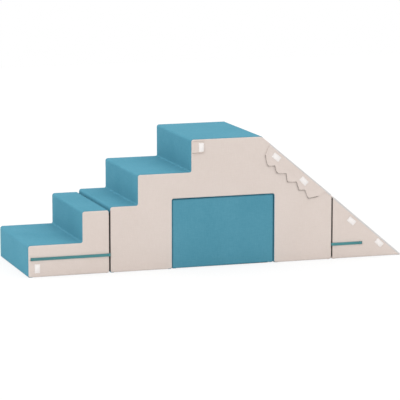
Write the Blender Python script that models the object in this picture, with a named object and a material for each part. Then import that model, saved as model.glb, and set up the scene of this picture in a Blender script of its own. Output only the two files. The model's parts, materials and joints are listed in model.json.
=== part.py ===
"""Soft play climber: four foam blocks in zipped fabric covers, standing in a row.

A stair block of two steps, a bridge with two more steps, a platform, a tunnel and the upper slide,
a wedge that carries the slide down to the floor, and a loose block that fills the tunnel.
Metres, +Z up, floor at z = 0. +X runs from the stair to the foot of the slide, and the side with the
zigzag flap faces -Y. The origin is the bottom centre of the whole object.
Each block is drawn in its own frame: x from its left end, y from the side with the flap, z from the floor.
"""

import math

import bmesh
import bpy
from mathutils import Matrix, Vector

# Stair block and joints
DEPTH = 0.545
STAIR_TREAD_1 = 0.2525
STAIR_TREAD_2 = 0.1279
STAIR_HEIGHT_1 = 0.148
STAIR_HEIGHT_2 = 0.2925
BLOCK_GAP = 0.004

# Bridge block
BRIDGE_TREAD_1 = 0.1317
BRIDGE_TREAD_2 = 0.2566
PLATFORM_LENGTH = 0.3393
BRIDGE_SLOPE_RUN = 0.3538
BRIDGE_HEIGHT_1 = 0.307
BRIDGE_HEIGHT_2 = 0.4485
PLATFORM_HEIGHT = 0.6
SLIDE_LIP = 0.0025
LEFT_LEG = 0.2943
TUNNEL_WIDTH = 0.501
TUNNEL_HEIGHT = 0.3294

# Wedge block
WEDGE_RUN = 0.355
WEDGE_HEIGHT = 0.303

# Block in the tunnel: it stands against the left leg
FILLER_LEFT_GAP = 0.0006
FILLER_RIGHT_GAP = 0.0054
FILLER_TOP_GAP = 0.0054

# Covers: fabric on a thin wadding, laid over rounded foam
COVER = 0.0025
EDGE_RADIUS = 0.008
NOSING_RADIUS = 0.012
FOOT_RADIUS = 0.008
INNER_RADIUS = 0.007
TUNNEL_CORNER_RADIUS = 0.004
SLOPE_TOP_RADIUS = 0.005
TOE_RADIUS = 0.003
LEAST_RADIUS = 0.0005
CLEARANCE = 0.0003
FOOT_LIFT = 0.0015
TURN_UNDER = 0.02
TOE_TURN_UNDER = 0.03
SEAM_FROM_CORNER = 0.012

# Webbing bands in the two joints, their free ends, and the tapes that hold these
WEBBING = 0.0016
WEBBING_WIDTH = 0.0155
TAPE = 0.001
TAPE_WIDTH = 0.0125
TAPE_SETBACK = 0.004
STAIR_STRAP_HEIGHT = 0.081
STAIR_STRAP_END = 0.0085
WEDGE_STRAP_HEIGHT = 0.0672
WEDGE_STRAP_REACH = 0.15

# Flaps and patches on the side of the bridge
FLAP = 0.0016
FLAP_HINGE_INSET = 0.003
FLAP_START = 0.058
FLAP_SHOULDER_START = 0.071
FLAP_SHOULDER_DEPTH = 0.0555
FLAP_POINT_PLACES = (0.117, 0.172, 0.243, 0.311, 0.37)
FLAP_NOTCH_PLACES = (0.138, 0.208, 0.274, 0.33)
FLAP_POINT_DEPTH = 0.083
FLAP_NOTCH_DEPTH = 0.0615
FLAP_TAIL = 0.402
FLAP_TAIL_DEPTH = 0.047
FLAP_END = 0.424
TAB_LENGTH = 0.0572
TAB_WIDTH = 0.0515
TAB_DROP = 0.017
PATCH = 0.001
PATCH_LENGTH = 0.042
PATCH_WIDTH = 0.026
TAB_PATCH_SETBACK = 0.0005
TAB_PATCH_DROP = 0.0018
STAIR_PATCH_INSET = 0.027
STAIR_PATCH_LIFT = 0.018
SLOPE_PATCH_DEPTH = 0.03
FLAP_PATCH_PLACES = (0.124, 0.304)
WEDGE_PATCH_PLACES = (0.158, 0.338)

# Zips, low on the far side of each block
ZIP_HEIGHT = 0.037
ZIP_WINDOW = 0.012
ZIP_MARGIN = 0.04
WEDGE_ZIP_END_MARGIN = 0.11
ZIP_TAPE = 0.0007
CHAIN_WIDTH = 0.005
CHAIN_BASE = 0.0005
TOOTH_RISE = 0.0008
TOOTH_PITCH = 0.006
TOOTH_LENGTH = 0.0032
STOP_LENGTH = 0.004
SLIDER_LENGTH = 0.012
SLIDER_WIDTH = 0.0095
SLIDER_WALL = 0.001
SLIDER_PROUD = 0.0013
SLIDER_BEVEL = 0.0004
CROWN_MARGIN = 0.0037
PULL_WIDTH = 0.0086
PULL_LENGTH = 0.021
PULL_BAR = 0.0015
PULL_THICKNESS = 0.0011
CUT_OVERRUN = 0.002

# Facets
ARC_STEPS = 4
EDGE_STEPS = 3
HINGE_STEPS = 6
SHARP_ANGLE = math.radians(35)
PARALLEL = 1e-9

# Places that follow from the sizes
STAIR_LENGTH = STAIR_TREAD_1 + STAIR_TREAD_2
SECOND_RISER = BRIDGE_TREAD_1 + BRIDGE_TREAD_2
PLATFORM_END = SECOND_RISER + PLATFORM_LENGTH
BRIDGE_LENGTH = PLATFORM_END + BRIDGE_SLOPE_RUN
BRIDGE_SLOPE_END = WEDGE_HEIGHT + SLIDE_LIP
TUNNEL_END = LEFT_LEG + TUNNEL_WIDTH
FILLER_LENGTH = TUNNEL_WIDTH - FILLER_LEFT_GAP - FILLER_RIGHT_GAP
FILLER_HEIGHT = TUNNEL_HEIGHT - FILLER_TOP_GAP
BRIDGE_SLOPE = math.atan2(PLATFORM_HEIGHT - BRIDGE_SLOPE_END, BRIDGE_SLOPE_RUN)
WEDGE_SLOPE = math.atan2(WEDGE_HEIGHT, WEDGE_RUN)
TOE = WEDGE_RUN - FOOT_LIFT / math.tan(WEDGE_SLOPE)
TOE_REACH = TOE - TOE_RADIUS / math.tan(WEDGE_SLOPE / 2) + TOE_RADIUS
BRIDGE_X = STAIR_LENGTH + BLOCK_GAP
WEDGE_X = BRIDGE_X + BRIDGE_LENGTH + BLOCK_GAP
FILLER_X = BRIDGE_X + LEFT_LEG + FILLER_LEFT_GAP
TOTAL_LENGTH = WEDGE_X + TOE_REACH
FOAM_INSET = COVER + CLEARANCE
FOAM_EDGE = EDGE_RADIUS - FOAM_INSET
STRIP_START = EDGE_RADIUS + CLEARANCE
BASE_THICKNESS = FOOT_LIFT + COVER

# Colour as sRGB hex, roughness and metallic value of each finish
FINISHES = {
    "teal_fabric": ("62A3B6", 0.85, 0.0),
    "beige_fabric": ("DDD0C8", 0.85, 0.0),
    "foam": ("E9E4D2", 0.95, 0.0),
    "base_sheet": ("3C4043", 0.8, 0.0),
    "teal_webbing": ("46878E", 0.7, 0.0),
    "loop_tape": ("4F8F99", 0.95, 0.0),
    "white_tape": ("EAE4E2", 0.9, 0.0),
    "zip_tape": ("C9BDB4", 0.8, 0.0),
    "zip_metal": ("A9A9A6", 0.35, 1.0),
}


def linear(channel):
    """An sRGB channel from 0 to 1 as a linear value."""
    return channel / 12.92 if channel <= 0.04045 else ((channel + 0.055) / 1.055) ** 2.4


def new_material(name, finish):
    """A Principled material of the named finish."""
    hex_colour, roughness, metallic = FINISHES[finish]
    colour = [linear(int(hex_colour[i : i + 2], 16) / 255) for i in (0, 2, 4)]
    material = bpy.data.materials.new(f"{name}_{finish}")
    material.use_nodes = True
    shader = material.node_tree.nodes["Principled BSDF"]
    shader.inputs["Base Color"].default_value = (*colour, 1.0)
    shader.inputs["Roughness"].default_value = roughness
    shader.inputs["Metallic"].default_value = metallic
    return material


def new_frame(name, location, parent=None, rotation=(0, 0, 0)):
    """An empty that carries the pieces of one block or of one hinged piece."""
    frame = bpy.data.objects.new(name, None)
    frame.location = location
    frame.rotation_euler = rotation
    frame.parent = parent
    bpy.context.collection.objects.link(frame)
    return frame


def new_piece(name, bm, frame, finish):
    """An object from a bmesh, with its own material, carried by a frame."""
    bmesh.ops.recalc_face_normals(bm, faces=bm.faces)
    mesh = bpy.data.meshes.new(name)
    bm.to_mesh(mesh)
    bm.free()
    mesh.shade_smooth()
    mesh.set_sharp_from_angle(angle=SHARP_ANGLE)
    mesh.materials.append(new_material(name, finish))
    piece = bpy.data.objects.new(name, mesh)
    piece.parent = frame
    bpy.context.collection.objects.link(piece)
    return piece


def unit(vector):
    return vector / vector.length


def offset_corner(point, before, after, insets):
    """Where the two edges at a corner meet once each has moved to its right by its own inset."""
    normal_in = Vector((before.y, -before.x))
    normal_out = Vector((after.y, -after.x))
    cross = normal_in.x * normal_out.y - normal_in.y * normal_out.x
    if abs(cross) < PARALLEL:
        return point + normal_in * insets[0]
    x = (insets[0] * normal_out.y - insets[1] * normal_in.y) / cross
    y = (insets[1] * normal_in.x - insets[0] * normal_out.x) / cross
    return point + Vector((x, y))


def rounded_corner(corner, before, after, radius, inset):
    """Points of the arc at a corner: a convex arc shrinks as it moves in, and a hollow one grows."""
    turn = math.atan2(before.x * after.y - before.y * after.x, before.dot(after))
    convex = turn < 0
    radius = max(radius - inset, LEAST_RADIUS) if convex else radius + inset
    start = corner - before * radius * math.tan(abs(turn) / 2)
    inward = Vector((before.y, -before.x)) * (1 if convex else -1)
    centre = start + inward * radius
    return [centre + Matrix.Rotation(turn * k / ARC_STEPS, 2) @ (start - centre) for k in range(ARC_STEPS + 1)]


def outline(corners, inset, closed=True):
    """The (x, z) points of a clockwise path of corners, moved inwards by inset.

    A corner is x, z and radius, and a fourth value of True keeps the edge after it where it is.
    """
    count = len(corners)
    places = [Vector(corner[:2]) for corner in corners]
    edges = [unit(places[(i + 1) % count] - places[i]) for i in range(count)]
    shifts = [0 if len(corner) > 3 and corner[3] else inset for corner in corners]
    points = []
    for i, place in enumerate(places):
        radius = corners[i][2]
        before, after = edges[i - 1], edges[i]
        insets = (shifts[i - 1], shifts[i])
        if not closed and i in (0, count - 1):
            edge = after if i == 0 else before
            points.append(place + Vector((edge.y, -edge.x)) * inset)
            continue
        corner = offset_corner(place, before, after, insets)
        points += rounded_corner(corner, before, after, radius, inset) if radius else [corner]
    return points


def loft(rings):
    """A closed body through rings of equally many points, capped at both ends."""
    bm = bmesh.new()
    loops = [[bm.verts.new(point) for point in ring] for ring in rings]
    bm.faces.new(loops[0])
    bm.faces.new(loops[-1])
    for low, high in zip(loops, loops[1:]):
        for i in range(len(low)):
            bm.faces.new((low[i - 1], low[i], high[i], high[i - 1]))
    return bm


def extruded(polygon, start, end, axis="Y"):
    """A closed body that runs along an axis from start to end, with the polygon in the plane across it."""
    place = {"X": lambda a, b, s: (s, a, b), "Y": lambda a, b, s: (a, s, b), "Z": lambda a, b, s: (a, b, s)}[axis]
    return loft([[place(a, b, s) for a, b in polygon] for s in (start, end)])


def box(low, high):
    """A closed box from its lowest to its highest corner."""
    polygon = [(low[0], low[2]), (low[0], high[2]), (high[0], high[2]), (high[0], low[2])]
    return extruded(polygon, low[1], high[1])


def combine(piece, operation, name, bm):
    """Cuts a helper body from a piece, or fuses it to the piece, as a live Boolean."""
    helper = new_piece(f"{piece.name}_{name}", bm, piece.parent, "zip_tape")
    helper.hide_render = True
    helper.display_type = "WIRE"
    modifier = piece.modifiers.new(name, "BOOLEAN")
    modifier.operation = operation
    modifier.solver = "EXACT"
    modifier.object = helper


def edge_turns():
    """Sine and cosine steps of the quarter round between a side and the wrap."""
    turns = [math.pi / 2 * step / EDGE_STEPS for step in range(EDGE_STEPS + 1)]
    return [(1 - math.sin(turn), 1 - math.cos(turn)) for turn in turns]


def side_panel(corners, far):
    """A cover's side: a flat sheet in the block's outline whose rim turns round the foam's edge."""
    inner_radius = EDGE_RADIUS - COVER
    outer = [(EDGE_RADIUS * inset, EDGE_RADIUS * y) for inset, y in edge_turns()]
    inner = [(COVER + inner_radius * inset, COVER + inner_radius * y) for inset, y in edge_turns()]
    rings = []
    for inset, y in outer + inner[::-1]:
        depth = DEPTH - y if far else y
        rings.append([(x, depth, z) for x, z in outline(corners, inset)])
    return loft(rings)


def foam_slab(corners):
    """A foam slab inside the cover, round along the edges where the cover turns."""
    steps = [(FOAM_INSET + FOAM_EDGE * inset, FOAM_INSET + FOAM_EDGE * y) for inset, y in edge_turns()]
    rings = [[(x, y, z) for x, z in outline(corners, inset)] for inset, y in steps]
    rings += [[(x, DEPTH - y, z) for x, z in outline(corners, inset)] for inset, y in steps[::-1]]
    return loft(rings)


def wrap_strip(path):
    """A cover strip between the two side panels, along an open path of corners."""
    polygon = outline(path, 0, closed=False) + outline(path, COVER, closed=False)[::-1]
    return extruded(polygon, STRIP_START, DEPTH - STRIP_START)


def base_sheet(start, end):
    """The grippy sheet under a block, between the turned-under ends of its wrap."""
    low = (start + CLEARANCE, STRIP_START, 0)
    return box(low, (end - CLEARANCE, DEPTH - STRIP_START, BASE_THICKNESS))


def along(start, end, distance):
    """The point at a distance from start towards end."""
    return Vector(start) + unit(Vector(end) - Vector(start)) * distance


# Zips

ZIP_FLOOR = DEPTH - COVER
TAPE_FACE = ZIP_FLOOR + ZIP_TAPE
CHAIN_TOP = TAPE_FACE + CHAIN_BASE + TOOTH_RISE


def zip_window(panel, prefix, start, end):
    """Cuts a zip's window through a far side panel."""
    low = (start, ZIP_FLOOR - CUT_OVERRUN, ZIP_HEIGHT - ZIP_WINDOW / 2)
    high = (end, DEPTH + CUT_OVERRUN, ZIP_HEIGHT + ZIP_WINDOW / 2)
    combine(panel, "DIFFERENCE", f"{prefix}_window", box(low, high))


def zip_chain(start, count):
    """The chain: a low bar, set a little into the tape, with a tooth on every pitch."""
    margin = (TOOTH_PITCH - TOOTH_LENGTH) / 2
    foot, low = TAPE_FACE - CLEARANCE, TAPE_FACE + CHAIN_BASE
    profile = [(start, foot), (start, low)]
    for tooth in range(count):
        left = start + tooth * TOOTH_PITCH + margin
        right = left + TOOTH_LENGTH
        profile += [(left, low), (left, CHAIN_TOP), (right, CHAIN_TOP), (right, low)]
    end = start + count * TOOTH_PITCH
    profile += [(end, low), (end, foot)]
    low_z, high_z = ZIP_HEIGHT - CHAIN_WIDTH / 2, ZIP_HEIGHT + CHAIN_WIDTH / 2
    return extruded(profile, low_z, high_z, axis="Z")


def zip_closure(frame, name, start, end):
    """The tape in its window with its chain and two end stops. Returns where the chain starts."""
    half_tape = ZIP_WINDOW / 2 - CLEARANCE
    low = (start + CLEARANCE, ZIP_FLOOR, ZIP_HEIGHT - half_tape)
    tape = new_piece(name, box(low, (end - CLEARANCE, TAPE_FACE, ZIP_HEIGHT + half_tape)), frame, "zip_tape")
    stop_room = STOP_LENGTH + 2 * CLEARANCE
    count = int((end - start - 2 * stop_room) / TOOTH_PITCH)
    chain_start = (start + end - count * TOOTH_PITCH) / 2
    chain_end = chain_start + count * TOOTH_PITCH
    combine(tape, "UNION", "chain", zip_chain(chain_start, count))
    half_stop = CHAIN_WIDTH / 2 + SLIDER_WALL
    for stop in (chain_start - CLEARANCE - STOP_LENGTH, chain_end + CLEARANCE):
        low = (stop, TAPE_FACE - CLEARANCE, ZIP_HEIGHT - half_stop)
        combine(tape, "UNION", "stop", box(low, (stop + STOP_LENGTH, CHAIN_TOP, ZIP_HEIGHT + half_stop)))
    return chain_start


def slider_body():
    """A slider over the chain: a plate with two walls beside the teeth and a crown for the pull."""
    half, wall = SLIDER_WIDTH / 2, SLIDER_WIDTH / 2 - SLIDER_WALL
    foot, roof, plate = TAPE_FACE + CLEARANCE, CHAIN_TOP + CLEARANCE, DEPTH + SLIDER_PROUD
    section = [(foot, -half), (plate, -half), (plate, half), (foot, half)]
    section += [(foot, wall), (roof, wall), (roof, -wall), (foot, -wall)]
    bm = extruded(section, -SLIDER_LENGTH / 2, SLIDER_LENGTH / 2, axis="X")
    bmesh.ops.recalc_face_normals(bm, faces=bm.faces)
    top = max(bm.faces, key=lambda face: face.calc_center_median().y)
    rim = [edge for edge in bm.edges if max(edge.verts[0].co.y, edge.verts[1].co.y) > DEPTH]
    bmesh.ops.inset_region(bm, faces=[top], thickness=CROWN_MARGIN, use_even_offset=True)
    crown = bmesh.ops.extrude_face_region(bm, geom=[top])["geom"]
    bmesh.ops.delete(bm, geom=[top], context="FACES_ONLY")
    rise = Vector((0, CLEARANCE + PULL_THICKNESS / 2, 0))
    bmesh.ops.translate(bm, vec=rise, verts=[part for part in crown if isinstance(part, bmesh.types.BMVert)])
    bmesh.ops.bevel(bm, geom=rim, offset=SLIDER_BEVEL, segments=1, affect="EDGES")
    return bm


def slider_pull():
    """The ring that hangs from the slider's crown."""
    half = PULL_WIDTH / 2
    top = PULL_BAR
    bottom = top - PULL_LENGTH
    arc = [math.pi * step / HINGE_STEPS for step in range(HINGE_STEPS + 1)]
    rounded = [(half * math.cos(turn), bottom + half - half * math.sin(turn)) for turn in arc]
    face_y = DEPTH + SLIDER_PROUD + CLEARANCE
    bm = bmesh.new()
    face = bm.faces.new([bm.verts.new((x, face_y, z)) for x, z in [(-half, top), (half, top), *rounded]])
    bm.normal_update()
    bmesh.ops.inset_region(bm, faces=[face], thickness=PULL_BAR, use_even_offset=True, use_boundary=True)
    bmesh.ops.delete(bm, geom=[face], context="FACES_ONLY")
    ring = bmesh.ops.extrude_face_region(bm, geom=bm.faces[:])["geom"]
    verts = [part for part in ring if isinstance(part, bmesh.types.BMVert)]
    bmesh.ops.translate(bm, vec=Vector((0, PULL_THICKNESS, 0)), verts=verts)
    return bm


def zip_slider(frame, name, chain_start):
    """A slider at the closed end of its chain."""
    place = (chain_start + SLIDER_LENGTH / 2, 0, ZIP_HEIGHT)
    carrier = new_frame(f"{name}_carrier", place, frame)
    slider = new_piece(name, slider_body(), carrier, "zip_metal")
    combine(slider, "UNION", "pull", slider_pull())


def fit_zip(frame, prefix, panel, start, end):
    """A window, a closure and a slider in a far side panel."""
    zip_window(panel, prefix, start, end)
    chain_start = zip_closure(frame, f"{prefix}_zip", start, end)
    zip_slider(frame, f"{prefix}_zip_slider", chain_start)


# Blocks

STAIR_CORNERS = [
    (0, FOOT_LIFT, FOOT_RADIUS),
    (0, STAIR_HEIGHT_1, NOSING_RADIUS),
    (STAIR_TREAD_1, STAIR_HEIGHT_1, INNER_RADIUS),
    (STAIR_TREAD_1, STAIR_HEIGHT_2, NOSING_RADIUS),
    (STAIR_LENGTH, STAIR_HEIGHT_2, NOSING_RADIUS),
    (STAIR_LENGTH, FOOT_LIFT, FOOT_RADIUS),
]
BRIDGE_CORNERS = [
    (0, FOOT_LIFT, FOOT_RADIUS),
    (0, BRIDGE_HEIGHT_1, NOSING_RADIUS),
    (BRIDGE_TREAD_1, BRIDGE_HEIGHT_1, INNER_RADIUS),
    (BRIDGE_TREAD_1, BRIDGE_HEIGHT_2, NOSING_RADIUS),
    (SECOND_RISER, BRIDGE_HEIGHT_2, INNER_RADIUS),
    (SECOND_RISER, PLATFORM_HEIGHT, NOSING_RADIUS),
    (PLATFORM_END, PLATFORM_HEIGHT, NOSING_RADIUS),
    (BRIDGE_LENGTH, BRIDGE_SLOPE_END, FOOT_RADIUS),
    (BRIDGE_LENGTH, FOOT_LIFT, FOOT_RADIUS),
    (TUNNEL_END, FOOT_LIFT, FOOT_RADIUS),
    (TUNNEL_END, TUNNEL_HEIGHT, TUNNEL_CORNER_RADIUS),
    (LEFT_LEG, TUNNEL_HEIGHT, TUNNEL_CORNER_RADIUS),
    (LEFT_LEG, FOOT_LIFT, FOOT_RADIUS),
]
WEDGE_CORNERS = [
    (0, FOOT_LIFT, FOOT_RADIUS),
    (0, WEDGE_HEIGHT, SLOPE_TOP_RADIUS),
    (TOE, FOOT_LIFT, TOE_RADIUS),
]
FILLER_CORNERS = [
    (0, FOOT_LIFT, FOOT_RADIUS),
    (0, FILLER_HEIGHT, FOOT_RADIUS),
    (FILLER_LENGTH, FILLER_HEIGHT, FOOT_RADIUS),
    (FILLER_LENGTH, FOOT_LIFT, FOOT_RADIUS),
]


def slope_z(x):
    """How high the bridge's slide stands at a distance from the bridge's left end."""
    return PLATFORM_HEIGHT - (x - PLATFORM_END) * math.tan(BRIDGE_SLOPE)


def side_panels(frame, prefix, corners):
    """The near and the far side of a cover. Returns the far one."""
    new_piece(f"{prefix}_near_panel", side_panel(corners, far=False), frame, "beige_fabric")
    return new_piece(f"{prefix}_far_panel", side_panel(corners, far=True), frame, "beige_fabric")


def build_stair(frame):
    """Two foam slabs, a stepped cover strip, the wall at the joint, sides, base, zip, patch and tapes."""
    lower = [STAIR_CORNERS[0], STAIR_CORNERS[1], (STAIR_LENGTH, STAIR_HEIGHT_1, 0), STAIR_CORNERS[5]]
    seam = STAIR_HEIGHT_1 - COVER
    upper = [(STAIR_TREAD_1, seam, 0), *STAIR_CORNERS[3:5], (STAIR_LENGTH, seam, 0, True)]
    new_piece("stair_lower_foam", foam_slab(lower), frame, "foam")
    new_piece("stair_upper_foam", foam_slab(upper), frame, "foam")
    far = side_panels(frame, "stair", STAIR_CORNERS)
    wall_seam = STAIR_HEIGHT_2 - NOSING_RADIUS - SEAM_FROM_CORNER
    steps = [(TURN_UNDER, FOOT_LIFT, 0), *STAIR_CORNERS[:5], (STAIR_LENGTH, wall_seam, 0)]
    wall = [(STAIR_LENGTH, wall_seam - CLEARANCE, 0), STAIR_CORNERS[5], (STAIR_LENGTH - TURN_UNDER, FOOT_LIFT, 0)]
    new_piece("stair_step_cover", wrap_strip(steps), frame, "teal_fabric")
    new_piece("stair_joint_wall", wrap_strip(wall), frame, "beige_fabric")
    new_piece("stair_base", base_sheet(TURN_UNDER, STAIR_LENGTH - TURN_UNDER), frame, "base_sheet")
    fit_zip(frame, "stair", far, ZIP_MARGIN, STAIR_LENGTH - ZIP_MARGIN)


def build_bridge(frame):
    """Five foam slabs round the tunnel, the cover strips, sides, two bases and two zips."""
    roof = TUNNEL_HEIGHT + COVER
    post = BRIDGE_TREAD_1 + COVER
    right_seam = TUNNEL_END + COVER
    top_seam = BRIDGE_HEIGHT_2 - COVER
    slabs = {
        "bridge_step_post_foam": [
            *BRIDGE_CORNERS[:2],
            (post, BRIDGE_HEIGHT_1, 0, True),
            (post, FOOT_LIFT, 0),
        ],
        "bridge_left_post_foam": [
            (BRIDGE_TREAD_1, FOOT_LIFT, 0),
            (BRIDGE_TREAD_1, roof, 0, True),
            (LEFT_LEG, roof, 0),
            BRIDGE_CORNERS[12],
        ],
        "bridge_right_post_foam": [
            BRIDGE_CORNERS[9],
            (TUNNEL_END, slope_z(TUNNEL_END), 0),
            *BRIDGE_CORNERS[7:9],
        ],
        "bridge_lintel_foam": [
            (BRIDGE_TREAD_1, TUNNEL_HEIGHT, 0),
            (BRIDGE_TREAD_1, BRIDGE_HEIGHT_2, NOSING_RADIUS),
            (right_seam, BRIDGE_HEIGHT_2, 0, True),
            (right_seam, TUNNEL_HEIGHT, 0),
        ],
        "bridge_platform_foam": [
            (SECOND_RISER, top_seam, 0),
            *BRIDGE_CORNERS[5:7],
            (right_seam, slope_z(right_seam), 0, True),
            (right_seam, top_seam, 0, True),
        ],
    }
    for name, corners in slabs.items():
        new_piece(name, foam_slab(corners), frame, "foam")
    far = side_panels(frame, "bridge", BRIDGE_CORNERS)
    slope_end, joint_top = BRIDGE_CORNERS[6][:2], BRIDGE_CORNERS[7][:2]
    step_seam = along(slope_end, joint_top, SEAM_FROM_CORNER)
    slide_seam = along(slope_end, joint_top, SEAM_FROM_CORNER + CLEARANCE)
    wall_seam = BRIDGE_SLOPE_END - FOOT_RADIUS - SEAM_FROM_CORNER
    steps = [(TURN_UNDER, FOOT_LIFT, 0), *BRIDGE_CORNERS[:7], (*step_seam, 0)]
    slide = [(*slide_seam, 0), BRIDGE_CORNERS[7], (BRIDGE_LENGTH, wall_seam, 0)]
    wall = [
        (BRIDGE_LENGTH, wall_seam - CLEARANCE, 0),
        BRIDGE_CORNERS[8],
        (BRIDGE_LENGTH - TURN_UNDER, FOOT_LIFT, 0),
    ]
    lining = [(TUNNEL_END + TURN_UNDER, FOOT_LIFT, 0), *BRIDGE_CORNERS[9:], (LEFT_LEG - TURN_UNDER, FOOT_LIFT, 0)]
    new_piece("bridge_step_cover", wrap_strip(steps), frame, "teal_fabric")
    new_piece("bridge_slide_cover", wrap_strip(slide), frame, "beige_fabric")
    new_piece("bridge_joint_wall", wrap_strip(wall), frame, "beige_fabric")
    new_piece("bridge_tunnel_lining", wrap_strip(lining), frame, "teal_fabric")
    right_start, right_end = TUNNEL_END + TURN_UNDER, BRIDGE_LENGTH - TURN_UNDER
    new_piece("bridge_left_base", base_sheet(TURN_UNDER, LEFT_LEG - TURN_UNDER), frame, "base_sheet")
    new_piece("bridge_right_base", base_sheet(right_start, right_end), frame, "base_sheet")
    fit_zip(frame, "bridge_left", far, ZIP_MARGIN, LEFT_LEG - ZIP_MARGIN)
    fit_zip(frame, "bridge_right", far, TUNNEL_END + ZIP_MARGIN, BRIDGE_LENGTH - ZIP_MARGIN)


def build_wedge(frame):
    """One foam wedge, the slide strip round its toe, the wall at the joint, sides, base and zip."""
    new_piece("wedge_foam", foam_slab(WEDGE_CORNERS), frame, "foam")
    far = side_panels(frame, "wedge", WEDGE_CORNERS)
    wall_seam = WEDGE_HEIGHT - SLOPE_TOP_RADIUS - SEAM_FROM_CORNER
    slide = [(0, wall_seam, 0), *WEDGE_CORNERS[1:], (TOE - TOE_TURN_UNDER, FOOT_LIFT, 0)]
    wall = [(TURN_UNDER, FOOT_LIFT, 0), WEDGE_CORNERS[0], (0, wall_seam - CLEARANCE, 0)]
    new_piece("wedge_slide_cover", wrap_strip(slide), frame, "beige_fabric")
    new_piece("wedge_joint_wall", wrap_strip(wall), frame, "beige_fabric")
    new_piece("wedge_base", base_sheet(TURN_UNDER, TOE - TOE_TURN_UNDER), frame, "base_sheet")
    fit_zip(frame, "wedge", far, ZIP_MARGIN, TOE - WEDGE_ZIP_END_MARGIN)


def build_filler(frame):
    """The block in the tunnel: foam, one strip over its ends and top, sides, base and zip."""
    new_piece("tunnel_block_foam", foam_slab(FILLER_CORNERS), frame, "foam")
    new_piece("tunnel_block_near_panel", side_panel(FILLER_CORNERS, far=False), frame, "teal_fabric")
    far = new_piece("tunnel_block_far_panel", side_panel(FILLER_CORNERS, far=True), frame, "teal_fabric")
    start, end = TURN_UNDER, FILLER_LENGTH - TURN_UNDER
    strip = [(start, FOOT_LIFT, 0), *FILLER_CORNERS, (end, FOOT_LIFT, 0)]
    new_piece("tunnel_block_wrap", wrap_strip(strip), frame, "teal_fabric")
    new_piece("tunnel_block_base", base_sheet(start, end), frame, "base_sheet")
    fit_zip(frame, "tunnel_block", far, ZIP_MARGIN, FILLER_LENGTH - ZIP_MARGIN)


# Straps

STRAP_OFFSET = CLEARANCE + TAPE + CLEARANCE + WEBBING / 2
BAND_CENTRE = CLEARANCE + WEBBING / 2


def strap_end(length):
    """A free strap end: a flat strip that turns about the round fold at its root."""
    half = WEBBING / 2
    turns = [math.pi * step / HINGE_STEPS for step in range(HINGE_STEPS + 1)]
    section = [(-half * math.sin(turn), half * math.cos(turn)) for turn in turns]
    section += [(length, -half), (length, half)]
    return extruded(section, -WEBBING_WIDTH / 2, WEBBING_WIDTH / 2, axis="Z")


def joint_band(frame, name, x, height):
    """A webbing band sewn to the bridge's end wall, across the joint from side to side."""
    reach = STRAP_OFFSET - WEBBING / 2 - CLEARANCE
    half = WEBBING_WIDTH / 2
    bm = box((x - WEBBING / 2, -reach, height - half), (x + WEBBING / 2, DEPTH + reach, height + half))
    new_piece(name, bm, frame, "teal_webbing")


def joint_straps(frame, prefix, x, height, length, direction):
    """The band of one joint and its two free ends, which fold round onto the neighbouring block."""
    joint_band(frame, f"{prefix}_joint_band", x, height)
    turn = 0 if direction > 0 else math.pi
    for side, y in (("near", -STRAP_OFFSET), ("far", DEPTH + STRAP_OFFSET)):
        hinge = new_frame(f"{prefix}_strap_{side}_hinge", (x, y, height), frame, (0, 0, turn))
        new_piece(f"{prefix}_strap_{side}", strap_end(length), hinge, "teal_webbing")


def holding_tapes(frame, prefix, start, end, height):
    """The loop tapes sewn to both sides of a block under its straps."""
    half = TAPE_WIDTH / 2
    for side, y in (("near", -CLEARANCE - TAPE), ("far", DEPTH + CLEARANCE)):
        bm = box((start, y, height - half), (end, y + TAPE, height + half))
        new_piece(f"{prefix}_loop_tape_{side}", bm, frame, "loop_tape")


# Flaps and patches


def flap_outline():
    """The zigzag flap as (distance down the slope, depth below it), hinge edge first."""
    zigzag = [(place, FLAP_POINT_DEPTH) for place in FLAP_POINT_PLACES]
    zigzag += [(place, FLAP_NOTCH_DEPTH) for place in FLAP_NOTCH_PLACES]
    start = [(FLAP_START, FLAP_HINGE_INSET), (FLAP_SHOULDER_START, FLAP_SHOULDER_DEPTH)]
    return [*start, *sorted(zigzag), (FLAP_TAIL, FLAP_TAIL_DEPTH), (FLAP_END, FLAP_HINGE_INSET)]


def build_ridge_flap(bridge):
    """The flap hangs from the slide's edge on a sewn hinge line and carries two patches."""
    y = -CLEARANCE - FLAP / 2
    slope = new_frame("ridge_flap_line", (PLATFORM_END, y, PLATFORM_HEIGHT), bridge, (0, BRIDGE_SLOPE, 0))
    hinge = new_frame("ridge_flap_hinge", (0, 0, -FLAP_HINGE_INSET), slope)
    polygon = [(along_slope, FLAP_HINGE_INSET - depth) for along_slope, depth in flap_outline()]
    new_piece("ridge_flap", extruded(polygon, -FLAP / 2, FLAP / 2), hinge, "beige_fabric")
    outer = -FLAP / 2 - CLEARANCE - PATCH
    for name, place in zip(("upper", "lower"), FLAP_PATCH_PLACES):
        centre_z = FLAP_HINGE_INSET - SLOPE_PATCH_DEPTH
        low = (place - PATCH_LENGTH / 2, outer, centre_z - PATCH_WIDTH / 2)
        high = (place + PATCH_LENGTH / 2, outer + PATCH, centre_z + PATCH_WIDTH / 2)
        new_piece(f"ridge_flap_{name}_patch", box(low, high), hinge, "white_tape")


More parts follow.
